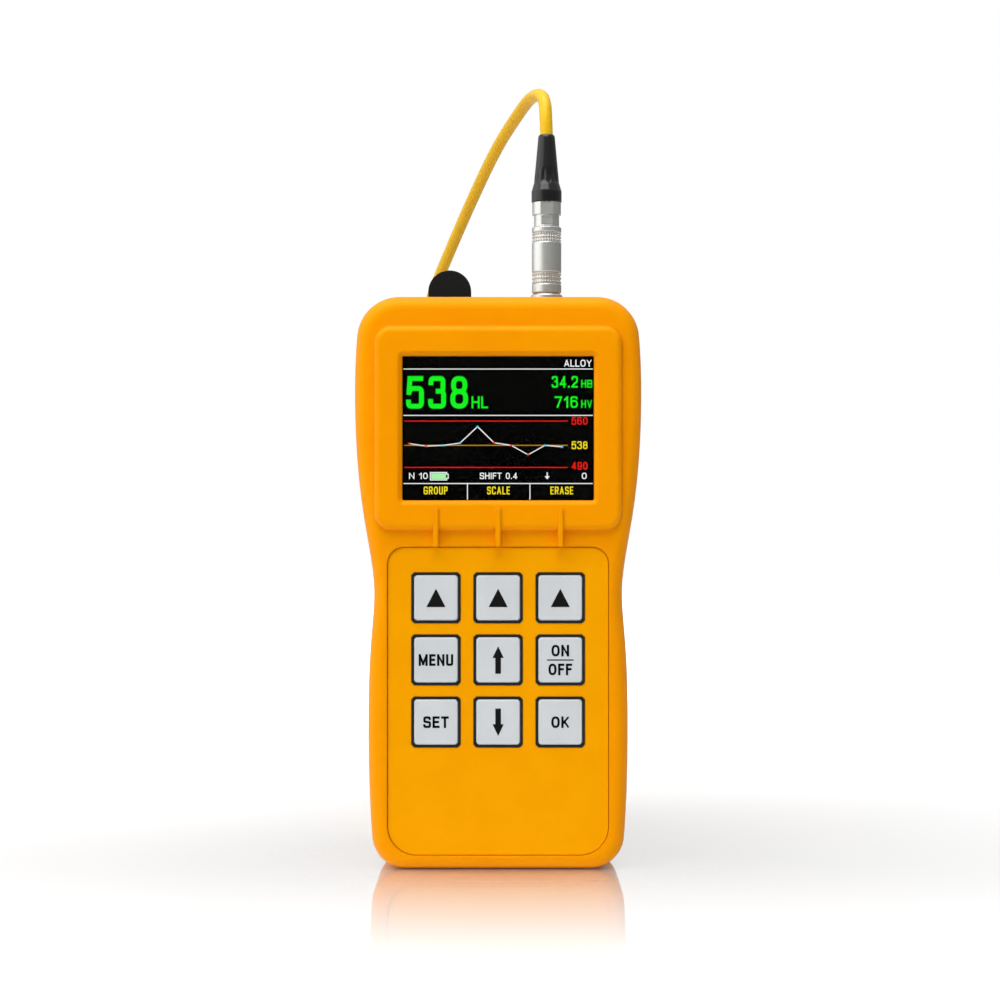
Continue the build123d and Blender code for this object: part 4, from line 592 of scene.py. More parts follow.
class TesterStage(bpy.types.PropertyGroup):
    """Floor, lights and camera."""

    sky: FloatProperty(name="Sky", description="Level of the soft light from all round", default=0.22, min=0.0)
    dim: FloatProperty(name="Dim side", description="Level of the room's dim side", default=0.2, min=0.0, max=1.0)
    side_power: FloatProperty(name="Side light", description="Power of the side light", subtype="POWER", default=7.0)
    top_power: FloatProperty(name="Top light", description="Power of the top light", subtype="POWER", default=15.0)
    mirror: FloatProperty(name="Mirror", description="Reflection at the foot", default=0.86, min=0.0, max=1.0)
    focal: FloatProperty(name="Focal length", description="Focal length of the lens in mm", default=72.0)


# ---- pieces


class TESTER_OT_jacket(bpy.types.Operator):
    """Finishes of the jacket, the key plate, the end panel and the battery door"""

    bl_idname = "tester.jacket"
    bl_label = "Jacket and plates"

    def execute(self, context):
        settings = context.scene.tester_jacket
        sheen = {"Specular_Tint": linear("FFC83C"), "Specular_IOR_Level": 0.35}
        # Thermoplastic rubber, injection moulded in a spark-eroded tool: matt skin with a broad soft shine.
        rubber = moulded(
            "moulded_yellow_rubber", settings.colour, "F89800", 0.4, settings.grain, 0.00003, edge=0.0009, **sheen
        )
        dress(["boot"], rubber)
        # ABS, injection moulded: a little paler and tighter than the rubber round it.
        plate = moulded(
            "moulded_yellow_abs", "FAA600", "F7A100", 0.38, settings.grain * 0.8, 0.00002, edge=0.00015, **sheen
        )
        dress(["keypad_panel", "connector_panel", "battery_door"], plate)
        return {"FINISHED"}


# Marks on the keys, in mm from the middle of a key
TRIANGLE = np.array([(-2.55, -2.45), (2.55, -2.45), (0, 2.45)])
ARROW = np.array([(-0.75, -3.65), (0.75, -3.65), (0.75, 0.55), (1.5, 0.55), (0, 3.65), (-1.5, 0.55), (-0.75, 0.55)])
# Words on the keys and their widths; ON stands over OFF with a rule between them
KEY_WORDS = {"key_menu": ("MENU", 9.2), "key_set": ("SET", 6.8), "key_enter": ("OK", 4.8)}
ON_WIDTH, OFF_WIDTH = 4.7, 6.3
RULE_HALF_LENGTH, RULE_WIDTH, RULE_GAP = 3.55, 0.32, 0.95
# How deep the ink reaches into a key's face, in metres, so that the two meet
INK_SUNK = 0.000005


class TESTER_OT_keys(bpy.types.Operator):
    """Key caps, their black rims and the marks on them"""

    bl_idname = "tester.keys"
    bl_label = "Keys"

    def execute(self, context):
        settings = context.scene.tester_keys
        # Pad-printed ABS caps: satin, cool light grey, with soft edges.
        caps = moulded("satin_grey_abs", "D3D8DB", "CDD2D5", 0.35, 0.00025, 0.00001, edge=0.0002)
        keys = [name for name in NODES if SLOT_OF[name] == "key_plastic"]
        dress(keys, caps)
        # Silicone rubber grid: near black and dull.
        rims = moulded(
            "black_silicone", "17161A", "131215", 0.55, 0.0003, 0.00002, edge=0.0001, Specular_IOR_Level=0.25
        )
        dress(["key_frame"], rims)
        # Pad-printing ink: flat dark grey, a hair's breadth thick.
        ink = moulded("dark_printing_ink", "0B0C0D", "090A0B", 0.6, 0.0004, 0.000005, Specular_IOR_Level=0.1)
        cap = settings.cap_height
        for key in keys:
            low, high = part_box(key)
            x, z = (low[0] + high[0]) / 2, (low[2] + high[2]) / 2
            front, back = low[1] - settings.ink, low[1] + INK_SUNK
            if key.startswith("key_soft"):
                chunks = [flat_plate(TRIANGLE * MM + np.array([x, z]), front, back)]
            elif key in ("key_up", "key_down"):
                way = 1 if key == "key_up" else -1
                chunks = [flat_plate(ARROW * MM * way + np.array([x, z]), front, back)]
            elif key == "key_on_off":
                reach, gap = RULE_HALF_LENGTH * MM, RULE_GAP * MM
                chunks = [
                    lettering("ON", cap, ON_WIDTH * MM, x, z + gap, front, back),
                    lettering("OFF", cap, OFF_WIDTH * MM, x, z - gap - cap, front, back),
                    bar(x - reach, z, x + reach, z, RULE_WIDTH * MM, front, back),
                ]
            else:
                words, width = KEY_WORDS[key]
                chunks = [lettering(words, cap, width * MM, x, z - cap / 2, front, back)]
            mesh = joined_mesh("mark_" + key[4:], chunks)
            add_piece("mark_" + key[4:], mesh, ink, BODY_OF[key])
        return {"FINISHED"}


# Words and numbers on the display: text, capital height, width, x, baseline and alignment, in mm from the middle of
# the screen
SCREEN_TEXT = {
    "white": (
        ("ALLOY", 1.9, 7.4, 25.0, 16.5, "RIGHT"),
        ("N 10", 1.7, 5.0, -23.8, -13.5, "LEFT"),
        ("SHIFT 0.4", 1.7, 10.0, 0.1, -13.5, "CENTER"),
        ("0", 1.7, 1.3, 23.0, -13.5, "CENTER"),
    ),
    "green": (
        ("538", 8.7, 16.6, -24.6, 5.3, "LEFT"),
        ("HL", 3.2, 4.4, -7.1, 5.4, "LEFT"),
        ("34.2", 3.1, 7.0, 21.3, 10.9, "RIGHT"),
        ("HB", 2.1, 2.9, 25.1, 10.9, "RIGHT"),
        ("716", 3.1, 6.2, 21.3, 5.5, "RIGHT"),
        ("HV", 2.1, 2.9, 25.1, 5.5, "RIGHT"),
    ),
    "red": (("560", 2.1, 4.3, 23.9, 1.0, "RIGHT"), ("490", 2.1, 4.3, 23.9, -11.0, "RIGHT")),
    "yellow": (
        ("538", 2.1, 4.3, 23.9, -5.5, "RIGHT"),
        ("GROUP", 2.1, 6.4, -16.7, -17.6, "CENTER"),
        ("SCALE", 2.1, 6.1, 0.1, -17.6, "CENTER"),
        ("ERASE", 2.1, 6.1, 17.0, -17.6, "CENTER"),
    ),
}
# Share of a capital's height that a stroke takes on the display
SCREEN_WEIGHT = 0.15
# Straight lines on the display, from (x, z) to (x, z) in mm
SCREEN_LINES = {
    "white": (
        (-25.3, 15.9, 25.3, 15.9),
        (-25.3, 3.5, 25.3, 3.5),
        (-25.3, -14.7, 25.3, -14.7),
        (-8.2, -14.7, -8.2, -19.0),
        (8.5, -14.7, 8.5, -19.0),
    ),
    "red": ((-25.1, 2.0, 18.6, 2.0), (-25.1, -10.4, 18.6, -10.4)),
    "amber": ((-25.1, -4.5, 18.6, -4.5),),
}
# Run of the readings and the colour of the dot on each
TREND = ((-23.8, -4.0), (-19.3, -4.7), (-14.7, -4.5), (-10.2, -3.9), (-5.5, 0.5), (-1.1, -3.8), (3.5, -4.5))
TREND += ((8.0, -7.0), (12.5, -4.5), (17.1, -4.9))
TREND_COLOURS = ("red", "red", "cyan", "cyan", "cyan", "red", "red", "red", "cyan", "cyan")
LIT_COLOURS = {
    "white": "F4F6F8",
    "cyan": "3CC8E6",
    "pale_green": "A8F0A8",
    "green": "12F01E",
    "red": "EA1C14",
    "yellow": "F2DC20",
    "amber": "C08A10",
}
DOWN_ARROW = np.array(
    [(12.95, -11.7), (12.95, -12.75), (12.4, -12.75), (13.1, -13.6), (13.8, -12.75), (13.25, -12.75), (13.25, -11.7)]
)
BATTERY_FRAME = np.array(
    [(-18.1, -11.75), (-18.1, -13.75), (-13.75, -13.75), (-13.75, -13.3), (-13.35, -13.3)]
    + [(-13.35, -12.2), (-13.75, -12.2), (-13.75, -11.75), (-18.1, -11.75)]
)
BATTERY_CHARGE = np.array([(-17.9, -13.55), (-13.95, -13.55), (-13.95, -11.95), (-17.9, -11.95)])
DOT_RADIUS = 0.3 * MM
# How far the picture's back and front, the run's line and its dots stand before the display's face, in metres
PICTURE_BACK, PICTURE_FRONT, RUN_FRONT, DOT_FRONT = 0.00001, 0.00004, 0.00006, 0.00007


class TESTER_OT_screen(bpy.types.Operator):
    """Clear window, display and the picture on it"""

    bl_idname = "tester.screen"
    bl_label = "Screen"

    def execute(self, context):
        settings = context.scene.tester_screen
        dress(["screen_window"], clear_lens("hard_coated_acrylic"))
        # Liquid crystal glass, lit from behind: nearly black where nothing is written.
        glass = moulded("black_display_glass", "020202", "010101", 0.3, 0.002, 0.000001, Specular_IOR_Level=0.02)
        dress(["lcd_module"], glass)
        low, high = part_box("lcd_module")
        middle = np.array([(low[0] + high[0]) / 2, (low[2] + high[2]) / 2])
        back, front = low[1] - PICTURE_BACK, low[1] - PICTURE_FRONT
        trend = np.array(TREND) * MM + middle
        for colour, code in LIT_COLOURS.items():
            chunks = [
                dot(*point, DOT_RADIUS, low[1] - DOT_FRONT, back)
                for point, lit in zip(trend, TREND_COLOURS)
                if lit == colour
            ]
            for words, cap, width, right, up, align in SCREEN_TEXT.get(colour, ()):
                x, z = middle + np.array([right, up]) * MM
                chunks.append(lettering(words, cap * MM, width * MM, x, z, front, back, align, SCREEN_WEIGHT))
            for x0, z0, x1, z1 in SCREEN_LINES.get(colour, ()):
                ends = np.array([(x0, z0), (x1, z1)]) * MM + middle
                chunks.append(bar(*ends.ravel(), settings.line, front, back))
            if colour == "white":
                chunks += [bar(*a, *b, settings.line, low[1] - RUN_FRONT, back) for a, b in zip(trend, trend[1:])]
                chunks.append(flat_plate(DOWN_ARROW * MM + middle, front, back))
                chunks.append(ribbon(BATTERY_FRAME * MM + middle, settings.line, front, back))
            if colour == "pale_green":
                chunks.append(flat_plate(BATTERY_CHARGE * MM + middle, front, back))
            material = glowing("lit_" + colour, code, settings.glow)
            mesh = joined_mesh("screen_" + colour, chunks)
            add_piece("screen_" + colour, mesh, material, BODY_OF["lcd_module"])
        return {"FINISHED"}


# Closed profiles of the pull sleeve and of the bend relief, (radius, station) in mm from the end nearest the plug
SLEEVE_PROFILE = np.array(
    [(3.3, 0.0), (3.75, 0.0), (4.05, 0.3), (4.05, 2.2), (3.98, 2.4), (4.03, 2.45), (4.03, 5.65), (3.98, 5.7)]
    + [(4.05, 5.95), (4.05, 13.7), (3.98, 13.9), (4.03, 13.95), (4.03, 16.65), (3.98, 16.7), (4.05, 16.9)]
    + [(4.05, 17.9), (3.75, 18.2), (3.65, 18.2), (3.65, 13.9), (3.3, 13.9)]
)
RELIEF_PROFILE = np.array(
    [(3.25, 0.0), (3.95, 0.0), (4.15, 0.2), (4.15, 3.1), (4.05, 3.4), (3.6, 5.0), (3.45, 5.4), (2.28, 18.2)]
    + [(2.05, 18.6), (1.75, 18.6), (1.75, 3.2), (3.25, 3.2)]
)
# Stations in mm where the two knurled bands of the sleeve start and end, and one between the bands
LOW_BAND, HIGH_BAND, BETWEEN_BANDS = (2.4, 5.7), (13.9, 16.7), 10
# Radii in mm beyond which a point of the sleeve's or of the relief's profile is on the outside
SLEEVE_OUTSIDE, RELIEF_OUTSIDE = 3.9, 2.2
PIECE_NAMES = {"plug_sleeve": "knurled_sleeve", "plug_boot": "bend_relief"}


class TESTER_OT_connector(bpy.types.Operator):
    """Probe socket, both push-pull plugs and the port with its cover"""

    bl_idname = "tester.connector"
    bl_label = "Plugs and sockets"

    def execute(self, context):
        settings = context.scene.tester_connector
        # Brass, turned and matt chrome plated: fine rings round the axis.
        rings_up = machined("turned_chromed_brass", "C6C7C3", 0.34, (300, 300, 4000), edge=0.0001)
        rings_level = machined("turned_chromed_brass_level", "C6C7C3", 0.34, (300, 4000, 300), edge=0.0001)
        dress(["probe_socket", "socket_nut", "plug_body", "plug_nut"], rings_up)
        dress(["far_plug_body", "far_plug_nut"], rings_level)
        # Glass-filled insulator with the contacts in it.
        insulator = moulded("black_insulator", "17181A", "121315", 0.5, 0.0004, 0.00001)
        dress(["socket_insert", "plug_insert", "far_plug_insert"], insulator)
        # Silicone rubber, moulded: deep black with a low shine.
        rubber = moulded(
            "black_moulded_rubber", "090909", "070707", 0.2, 0.0008, 0.000003, edge=0.0002, Specular_IOR_Level=0.45
        )
        dress(["port_cover"], rubber)
        # Stamped steel shell, tin plated.
        dress(["port_socket"], machined("tinned_steel", "B9BABA", 0.3, (3000, 3000, 3000)))

        def knurled(radius, station, turn):
            """Three rows of small blocks on each of two bands: depth x (1 - block(n t) x block(2 pi (3 u - 1/2))).

            u is the share of the band's height; block(a) goes smoothly from 0 to 1 as cos a goes from -0.5 to 0.1."""
            lower = station < BETWEEN_BANDS * MM
            low, high = (np.where(lower, a * MM, b * MM) for a, b in zip(LOW_BAND, HIGH_BAND))
            share = (station - low) / (high - low)
            across = smooth_step(np.cos(settings.knurls * turn), -0.5, 0.1)
            along = smooth_step(np.cos(2 * math.pi * (3 * share - 0.5)), -0.5, 0.1)
            inside_band = (abs(share - 0.5) < 0.5) * (radius > SLEEVE_OUTSIDE * MM)
            return settings.knurl_depth * (1 - across * along) * inside_band

        def fluted(radius, station, turn):
            """Round flutes on the outside: depth x (0.5 - 0.5 cos nt) x fade(s), with s the station in mm.

            fade(s) rises from 0 at 5 mm to 1 at 6 mm and falls from 1 at 7.4 mm to 0 at 9.6 mm."""
            height = station / MM
            fade = np.clip(height - 5.0, 0, 1) * np.clip((9.6 - height) / 2.2, 0, 1)
            outside = radius > RELIEF_OUTSIDE * MM
            return settings.flute_depth * (0.5 - 0.5 * np.cos(settings.flutes * turn)) * fade * outside

        sleeve = turned_surface(SLEEVE_PROFILE * MM, 0.14 * MM, 8 * settings.knurls, knurled)
        relief = turned_surface(RELIEF_PROFILE * MM, 0.5 * MM, 96, fluted)
        for prefix, metal in (("", rings_up), ("far_", rings_level)):
            for kind, points, material in (("plug_sleeve", sleeve, metal), ("plug_boot", relief, rubber)):
                node, name = prefix + kind, prefix + PIECE_NAMES[kind]
                low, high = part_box(node)
                middle = [(a + b) / 2 for a, b in zip(low, high)]
                if prefix:
                    placed = stood_along(points, (middle[0], high[1], middle[2]), (1, 0, 0), (0, -1, 0))
                else:
                    placed = stood_along(points, (middle[0], middle[1], low[2]), (1, 0, 0), (0, 0, 1))
                mesh = surface_mesh(name, placed, close_rows=True, close_columns=True)
                MADE[name] = add_piece(name, mesh, material, BODY_OF[node], stands_for=(node,))
        return {"FINISHED"}


# Cable route in mm from the plug's bend relief to the coil, and from the coil to the far plug
CABLE_FALL = (
    *((13.3, 1.25, 198.8), (13.15, 1.25, 203.2), (12.9, 3.3, 208.9), (11.5, 8.4, 211.7), (8.9, 15.2, 211.8)),
    *((5.5, 23.4, 208.6), (-0.3, 35.8, 201.8), (-6.7, 50.3, 191.0), (-13.3, 64.6, 178.6), (-21.0, 79.5, 163.0)),
    *((-27.4, 91.0, 141.5), (-31.8, 98.4, 113.4), (-34.0, 101.9, 80.2), (-34.5, 102.3, 48.4), (-34.5, 98.9, 24.2)),
    *((-34.4, 89.6, 8.6), (-34.3, 76.6, 1.9), (-34.25, 63.4, 2.45)),
)
CABLE_LEAD = ((3.4, 25.7, 5.9), (11.6, 26.0, 5.2), (19.3, 28.6, 4.6), (24.0, 35.2, 4.15), (24.0, 43.5, 4.15))
# Middle of the coil, height of its lower turns, all in mm, and how far it turns, in degrees
COIL_CENTRE = (-10.0, 50.0)
COIL_FLOOR = 2.45
COIL_ANGLE = 2610
# The spline's radius as a share of that of its points, at 16 points a turn
SPLINE_INSIDE = 0.981
# Level direction across the fall, and the stretch of the cable, in metres, where the tube's frame turns from it to
# upright for the coil
FALL_SIDE = (0.905, 0.425, 0.0)
FRAME_TURN = (0.24, 0.28)
# Tie: width, thickness, gap round the turns and run of its UV map, in metres, and its place round the coil in degrees
STRAP_WIDTH, STRAP_THICKNESS, STRAP_GAP = 0.008, 0.0006, 0.0004
STRAP_UV = (0.017, 0.045)
STRAP_ANGLE = 57


def coil_turns(coil, diameter):
    """Points of the coil in mm, 16 a turn: in from the outer turn on the floor, up, and out again on top.

    The angle runs from 180 degrees to 270 degrees, 7.25 turns on; the radius steps by a diameter over 55 degrees,
    and each point stands 1 / 0.981 further out, because the spline cuts inside its points."""
    travelled = np.arange(0, COIL_ANGLE + 1, 22.5)
    inward = sum(smooth_step(travelled, 360 * turn + 280, 360 * turn + 335) for turn in range(3))
    outward = sum(smooth_step(travelled, 1540 + 360 * turn, 1595 + 360 * turn) for turn in range(3))
    climb = smooth_step(travelled, 1340, 1430)
    radius = (coil / 2 + 1.5 * diameter - diameter * (inward - outward)) / SPLINE_INSIDE
    angle = np.radians(180 + travelled)
    across, along = COIL_CENTRE[0] + radius * np.cos(angle), COIL_CENTRE[1] + radius * np.sin(angle)
    return np.stack([across, along, COIL_FLOOR + diameter * climb], axis=1)


class TESTER_OT_cable(bpy.types.Operator):
    """Probe cable, its put-away coil and the tie"""

    bl_idname = "tester.cable"
    bl_label = "Cable"

    def execute(self, context):
        settings = context.scene.tester_cable
        diameter = settings.diameter
        coil = coil_turns(settings.coil / MM, diameter / MM)
        route = np.concatenate([np.array(CABLE_FALL), coil, np.array(CABLE_LEAD)]) * MM
        path = self.smooth_line(context, route)
        # Polyurethane jacket, extruded: smooth, with the low shine of a cable that has been handled.
        sheen = {"Specular_Tint": linear("FFE9A0")}
        jacket = moulded(
            "extruded_yellow_polyurethane", "EDBE1C", "E8B617", 0.33, 0.004, 0.000004, patch=0.02, **sheen
        )
        cable = add_piece("probe_cable", self.tube(path, diameter), jacket, None)
        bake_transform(cable)
        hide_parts("cable_rise", "cable_tail", "cable_coil", "cable_lead")
        strap = self.strap(settings)
        on_cable = [strap] + [MADE[name] for name in sorted(MADE)]
        for prefix in ("", "far_"):
            on_cable += [NODES[prefix + node] for node in ("plug_body", "plug_nut", "plug_insert")]
        return {"FINISHED"}

    def smooth_line(self, context, route):
        """Points along a quadratic NURBS spline that has the route's points as its control points."""
        curve = bpy.data.curves.new("cable_route", "CURVE")
        curve.dimensions = "3D"
        curve.resolution_u = 8
        spline = curve.splines.new("NURBS")
        spline.points.add(len(route) - 1)
        spline.points.foreach_set("co", np.insert(route, 3, 1.0, axis=1).ravel())
        spline.order_u = 3
        spline.use_endpoint_u = True
        line = bpy.data.objects.new("cable_route", curve)
        context.scene.collection.objects.link(line)
        context.view_layer.update()
        sampled = bpy.data.meshes.new_from_object(line)
        path = np.empty(3 * len(sampled.vertices))
        sampled.vertices.foreach_get("co", path)
        bpy.data.objects.remove(line)
        bpy.data.meshes.remove(sampled)
        return path.reshape(-1, 3)

    def tube(self, path, diameter, around=16):
        """Tube p + r (n cos t + b sin t), drawn in to a point at both ends.

        The reference for n turns from the level direction across the fall to upright."""
        step = np.linalg.norm(np.diff(path, axis=0), axis=1)
        run = np.concatenate([[0], np.cumsum(step)])
        blend = smooth_step(run, *FRAME_TURN)[:, None]
        reference = (1 - blend) * np.array(FALL_SIDE) + blend * np.array([0, 0, 1.0])
        normal, other = frames_along(path, reference)
        turn = np.linspace(0, 2 * math.pi, around, endpoint=False)[None, :, None]
        ring = np.cos(turn) * normal[:, None, :] + np.sin(turn) * other[:, None, :]
        points = path[:, None, :] + diameter / 2 * ring
        ends = [np.repeat(path[end, None, None], around, axis=1) for end in (0, -1)]
        points = np.concatenate([ends[0], points, ends[1]])
        uv_size = (math.pi * diameter, float(run[-1]))
        return surface_mesh("probe_cable", points, close_columns=True, uv_size=uv_size, sharp=60.0)

    def strap(self, settings):
        """Tie round the coil: a rounded section 8 mm wide swept round a rounded rectangle about the turns."""
        low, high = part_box("cable_coil")
        half_wide, half_high = 2 * settings.diameter + STRAP_GAP, (high[2] - low[2]) / 2 + STRAP_GAP
        wide, tall, out = squarish(96, half_wide, half_high, 0.4, 0.4)
        across, thick, _ = squarish(24, STRAP_WIDTH / 2, STRAP_THICKNESS / 2, 0.35, 0.5)
        radius = settings.coil / 2 + wide[:, None] + out[:, :1] * thick[None, :]
        height = (low[2] + high[2]) / 2 + tall[:, None] + out[:, 1:] * thick[None, :]
        angle = math.radians(STRAP_ANGLE) + (across / (settings.coil / 2))[None, :]
        x, y = COIL_CENTRE[0] * MM + radius * np.cos(angle), COIL_CENTRE[1] * MM + radius * np.sin(angle)
        mesh = surface_mesh("coil_strap", np.stack([x, y, height], axis=-1), True, True, uv_size=STRAP_UV)
        # Nylon hook-and-loop tape, woven at 0.5 mm.
        tape = woven_strap("black_woven_nylon", "1C1C1E", 0.0005)
        return add_piece("coil_strap", mesh, tape, BODY_OF["coil_tie"], ("coil_tie",))


class TESTER_OT_case(bpy.types.Operator):
    """Hard case, boards, cells, contacts and screws inside the jacket"""

    bl_idname = "tester.case"
    bl_label = "Case and inner pieces"

    def execute(self, context):
        # Glass-filled ABS, moulded: dark grey and dull.
        case = moulded("moulded_dark_abs", "2B2C2E", "252628", 0.5, 0.0004, 0.00002, edge=0.0002)
        dress(["rear_case"], case)
        # The front half is moulded in yellow, which keeps the seam round the key plate warm.
        front = moulded("moulded_yellow_case_abs", "E08C00", "DC8800", 0.5, 0.0004, 0.00002, edge=0.0002)
        dress(["front_case"], front)
        dress(["case_seal"], moulded("black_seal_rubber", "161617", "111112", 0.6, 0.0005, 0.00002))
        dress(["buzzer"], moulded("black_buzzer_case", "1A1A1C", "161618", 0.4, 0.0005, 0.00001))
        dress(["keypad_board", "main_board"], circuit_board("green_solder_resist", "0E5A2C", "2B8A4C"))
        # Spring steel, rolled: faint straight marks.
        steel = machined("rolled_spring_steel", "C3C4C2", 0.28, (6000, 400, 400))
        dress(["key_domes", "lcd_bracket", "contact_bridge", "contact_plus", "contact_minus"], steel)
        # Steel screws, zinc plated: a little bluer and duller than the springs.
        zinc = machined("zinc_plated_steel", "B4B6B8", 0.32, (2000, 2000, 2000))
        dress(["case_screws", "board_screws", "keypad_screws"], zinc)
        dress(["battery_left", "battery_right"], cell_can("printed_foil_sleeve"))
        return {"FINISHED"}


# Places in metres of the camera, of the point that the lights face, and of each light with its size
CAMERA_PLACE = (0.0005, -0.5484, 0.0986)
LIT_POINT = (0.0, 0.0, 0.09)
SIDE_LIGHT = ((-1.1, -0.28, 0.3), 1.6)
TOP_LIGHT = ((-0.16, -0.42, 1.1), 1.1)
WHITE = (1.0, 1.0, 1.0, 1.0)


class TESTER_OT_stage(bpy.types.Operator):
    """Floor, sky, lights and camera"""

    bl_idname = "tester.stage"
    bl_label = "Studio"

    def execute(self, context):
        settings = context.scene.tester_stage
        self.floor(settings.mirror)
        self.sky(context.scene, settings.sky, settings.dim)
        self.lamp("side_light", *SIDE_LIGHT, settings.side_power)
        self.lamp("top_light", *TOP_LIGHT, settings.top_power)
        camera = bpy.data.cameras.new("camera")
        camera.lens = settings.focal
        camera.sensor_width = 36.0
        camera.clip_start = 0.01
        camera.clip_end = 20.0
        eye = bpy.data.objects.new("camera", camera)
        eye.location = CAMERA_PLACE
        eye.rotation_euler = (math.pi / 2, 0, 0)
        context.scene.collection.objects.link(eye)
        context.scene.camera = eye
        context.scene.view_settings.view_transform = "Standard"
        return {"FINISHED"}

    def floor(self, mirror):
        """Level sheet, 4 m square, 0.05 mm under the tester.

        The mirror share falls from the given one at 18 mm from the middle to none at 130 mm. The level that the
        eye sees rises from 0.27 up to 130 mm to 1 at 500 mm, and shiny surfaces see a quarter of it. Distances
        across count half, so that the levels follow the tester's width."""
        side = np.linspace(-2.0, 2.0, 9)
        across, along = np.meshgrid(side, side, indexing="ij")
        mesh = surface_mesh("floor", np.stack([across, along, np.full_like(across, -0.00005)], axis=-1))
        # White acrylic table: plain white to the eye, polished where the tester stands, and it takes the shadow.
        plain = {"Base_Color": (0.8, 0.8, 0.8, 1.0), "Roughness": 0.6, "Specular_IOR_Level": 0.1}
        material, tree, shader = new_finish("white_acrylic_table", **plain)
        output = tree.get_output_node("ALL")
        seen = add_node(tree, "LightPath").outputs
        sight = {0: seen["Is Glossy Ray"], 2: seen["Is Camera Ray"]}
        either = add_node(tree, "Math", {"operation": "MULTIPLY_ADD", 1: 0.25}, sight)
        place = add_node(tree, "TexCoord").outputs["Object"]
        apart = add_node(tree, "VectorMath", {"operation": "MULTIPLY", 1: (0.5, 1.0, 0.0)}, {0: place})
        reach = add_node(tree, "VectorMath", {"operation": "LENGTH"}, {0: apart}).outputs["Value"]
        rise = {"From Min": 0.13, "From Max": 0.5, "To Min": 0.27, "To Max": 1.0}
        far = add_node(tree, "MapRange", rise, {"Value": reach})
        level = add_node(tree, "Math", {"operation": "MULTIPLY"}, {0: far, 1: either})
        white = add_node(tree, "Emission", {"Color": WHITE}, {"Strength": level})
        both = add_node(tree, "AddShader", links={0: shader, 1: white})
        polished = add_node(tree, "BsdfAnisotropic", {"Roughness": 0.06})
        fall = {"From Min": 0.018, "From Max": 0.13, "To Min": mirror, "To Max": 0.0}
        share = add_node(tree, "MapRange", fall, {"Value": reach})
        mixed = add_node(tree, "MixShader", links={0: share, 1: both, 2: polished})
        tree.links.new(mixed.outputs["Shader"], output.inputs["Surface"])
        floor = bpy.data.objects.new("floor", mesh)
        bpy.context.scene.collection.objects.link(floor)
        mesh.materials.append(material)
        if mesh.polygons[0].normal.z < 0:
            mesh.flip_normals()

    def sky(self, scene, level, dim):
        """White to the eye, soft light on surfaces, and a studio room to reflections.

        For a direction (x, y, z) the room's level is dim + (1 - dim) (min(x, 0)^2 + max(z, 0) + s(y)), at most 1,
        and s goes smoothly from 0 to 1 as y goes from 0.9 to 0.97: white on the left, overhead and right behind
        the tester, dim in front and on the right."""
        world = bpy.data.worlds.new("studio")
        scene.world = world
        world.use_nodes = True
        tree = world.node_tree
        tree.nodes.clear()
        seen = add_node(tree, "LightPath").outputs
        way = add_node(tree, "TexCoord").outputs["Generated"]
        x, y, z = add_node(tree, "SeparateXYZ", links={"Vector": way}).outputs
        left = add_node(tree, "Math", {"operation": "MINIMUM", 1: 0.0}, {0: x})
        up = add_node(tree, "Math", {"operation": "MAXIMUM", 1: 0.0}, {0: z})
        step = {"interpolation_type": "SMOOTHSTEP", "From Min": 0.9, "From Max": 0.97}
        behind = add_node(tree, "MapRange", step, {"Value": y})
        sides = add_node(tree, "Math", {"operation": "MULTIPLY_ADD"}, {0: left, 1: left, 2: up})
        lit = add_node(tree, "Math", {"operation": "ADD"}, {0: sides, 1: behind})
        room = add_node(tree, "MapRange", {"To Min": dim, "To Max": 1.0}, {"Value": lit})
        shine = {"Factor": seen["Is Glossy Ray"], "B": room}
        glossy = add_node(tree, "Mix", {"data_type": "FLOAT", "A": level}, shine)
        sight = {0: seen["Is Camera Ray"], 1: seen["Is Transmission Ray"]}
        either = add_node(tree, "Math", {"operation": "MAXIMUM"}, sight)
        strength = add_node(
            tree, "Mix", {"data_type": "FLOAT", "B": 1.0}, {"Factor": either, "A": glossy}
        )
        background = add_node(tree, "Background", {"Color": WHITE}, {"Strength": strength})
        add_node(tree, "OutputWorld", links={"Surface": background})

    def lamp(self, name, place, size, power):
        """Square soft light that faces the tester's middle."""
        light = bpy.data.lights.new(name, "AREA")
        light.size = size
        light.energy = power
        lamp = bpy.data.objects.new(name, light)
        lamp.location = place
        aim = np.array(LIT_POINT) - np.array(place)
        flat = math.hypot(aim[0], aim[1])
        lamp.rotation_euler = (math.atan2(flat, -aim[2]), 0, math.atan2(aim[1], aim[0]) - math.pi / 2)
        bpy.context.scene.collection.objects.link(lamp)


class TESTER_PT_panel(bpy.types.Panel):
    """Sidebar panel with one button for each group of pieces"""

    bl_label = "Hardness tester"
    bl_idname = "TESTER_PT_panel"
    bl_space_type = "VIEW_3D"
    bl_region_type = "UI"
    bl_category = "Tester"

    def draw(self, context):
        for operator in OPERATORS:
            self.layout.operator(operator.bl_idname)
        for name in SETTINGS:
            box = self.layout.box()
            group = getattr(context.scene, name)
            for prop in group.bl_rna.properties:
                if not prop.is_readonly and prop.identifier != "name":
                    box.prop(group, prop.identifier)


OPERATORS = (
    TESTER_OT_stage,
    TESTER_OT_jacket,
    TESTER_OT_keys,
    TESTER_OT_screen,
    TESTER_OT_connector,
    TESTER_OT_cable,
    TESTER_OT_case,
)
SETTINGS = {
    "tester_jacket": TesterJacket,
    "tester_keys": TesterKeys,
    "tester_screen": TesterScreen,
    "tester_connector": TesterConnector,
    "tester_cable": TesterCable,
    "tester_stage": TesterStage,
}


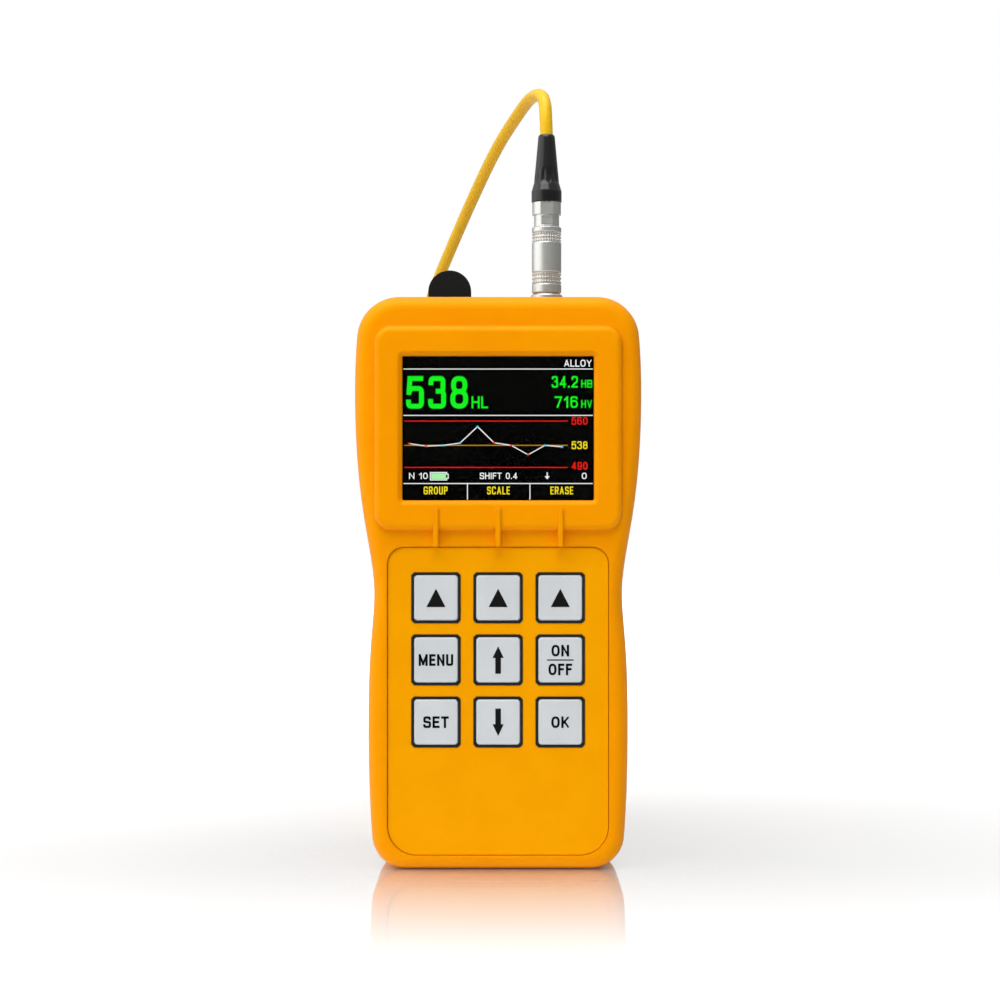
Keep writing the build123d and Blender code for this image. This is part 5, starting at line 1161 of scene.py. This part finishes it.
def register():
    """Registers the classes and hangs each group of settings on the scene."""
    for name, group in SETTINGS.items():
        bpy.utils.register_class(group)
        setattr(bpy.types.Scene, name, PointerProperty(type=group))
    for operator in OPERATORS:
        bpy.utils.register_class(operator)
    bpy.utils.register_class(TESTER_PT_panel)


def unregister():
    """Takes everything off again."""
    bpy.utils.unregister_class(TESTER_PT_panel)
    for operator in reversed(OPERATORS):
        bpy.utils.unregister_class(operator)
    for name, group in SETTINGS.items():
        delattr(bpy.types.Scene, name)
        bpy.utils.unregister_class(group)


def main():
    register()
    for operator in OPERATORS:
        getattr(bpy.ops.tester, operator.bl_idname.split(".")[1])()


if __name__ == "__main__":
    main()
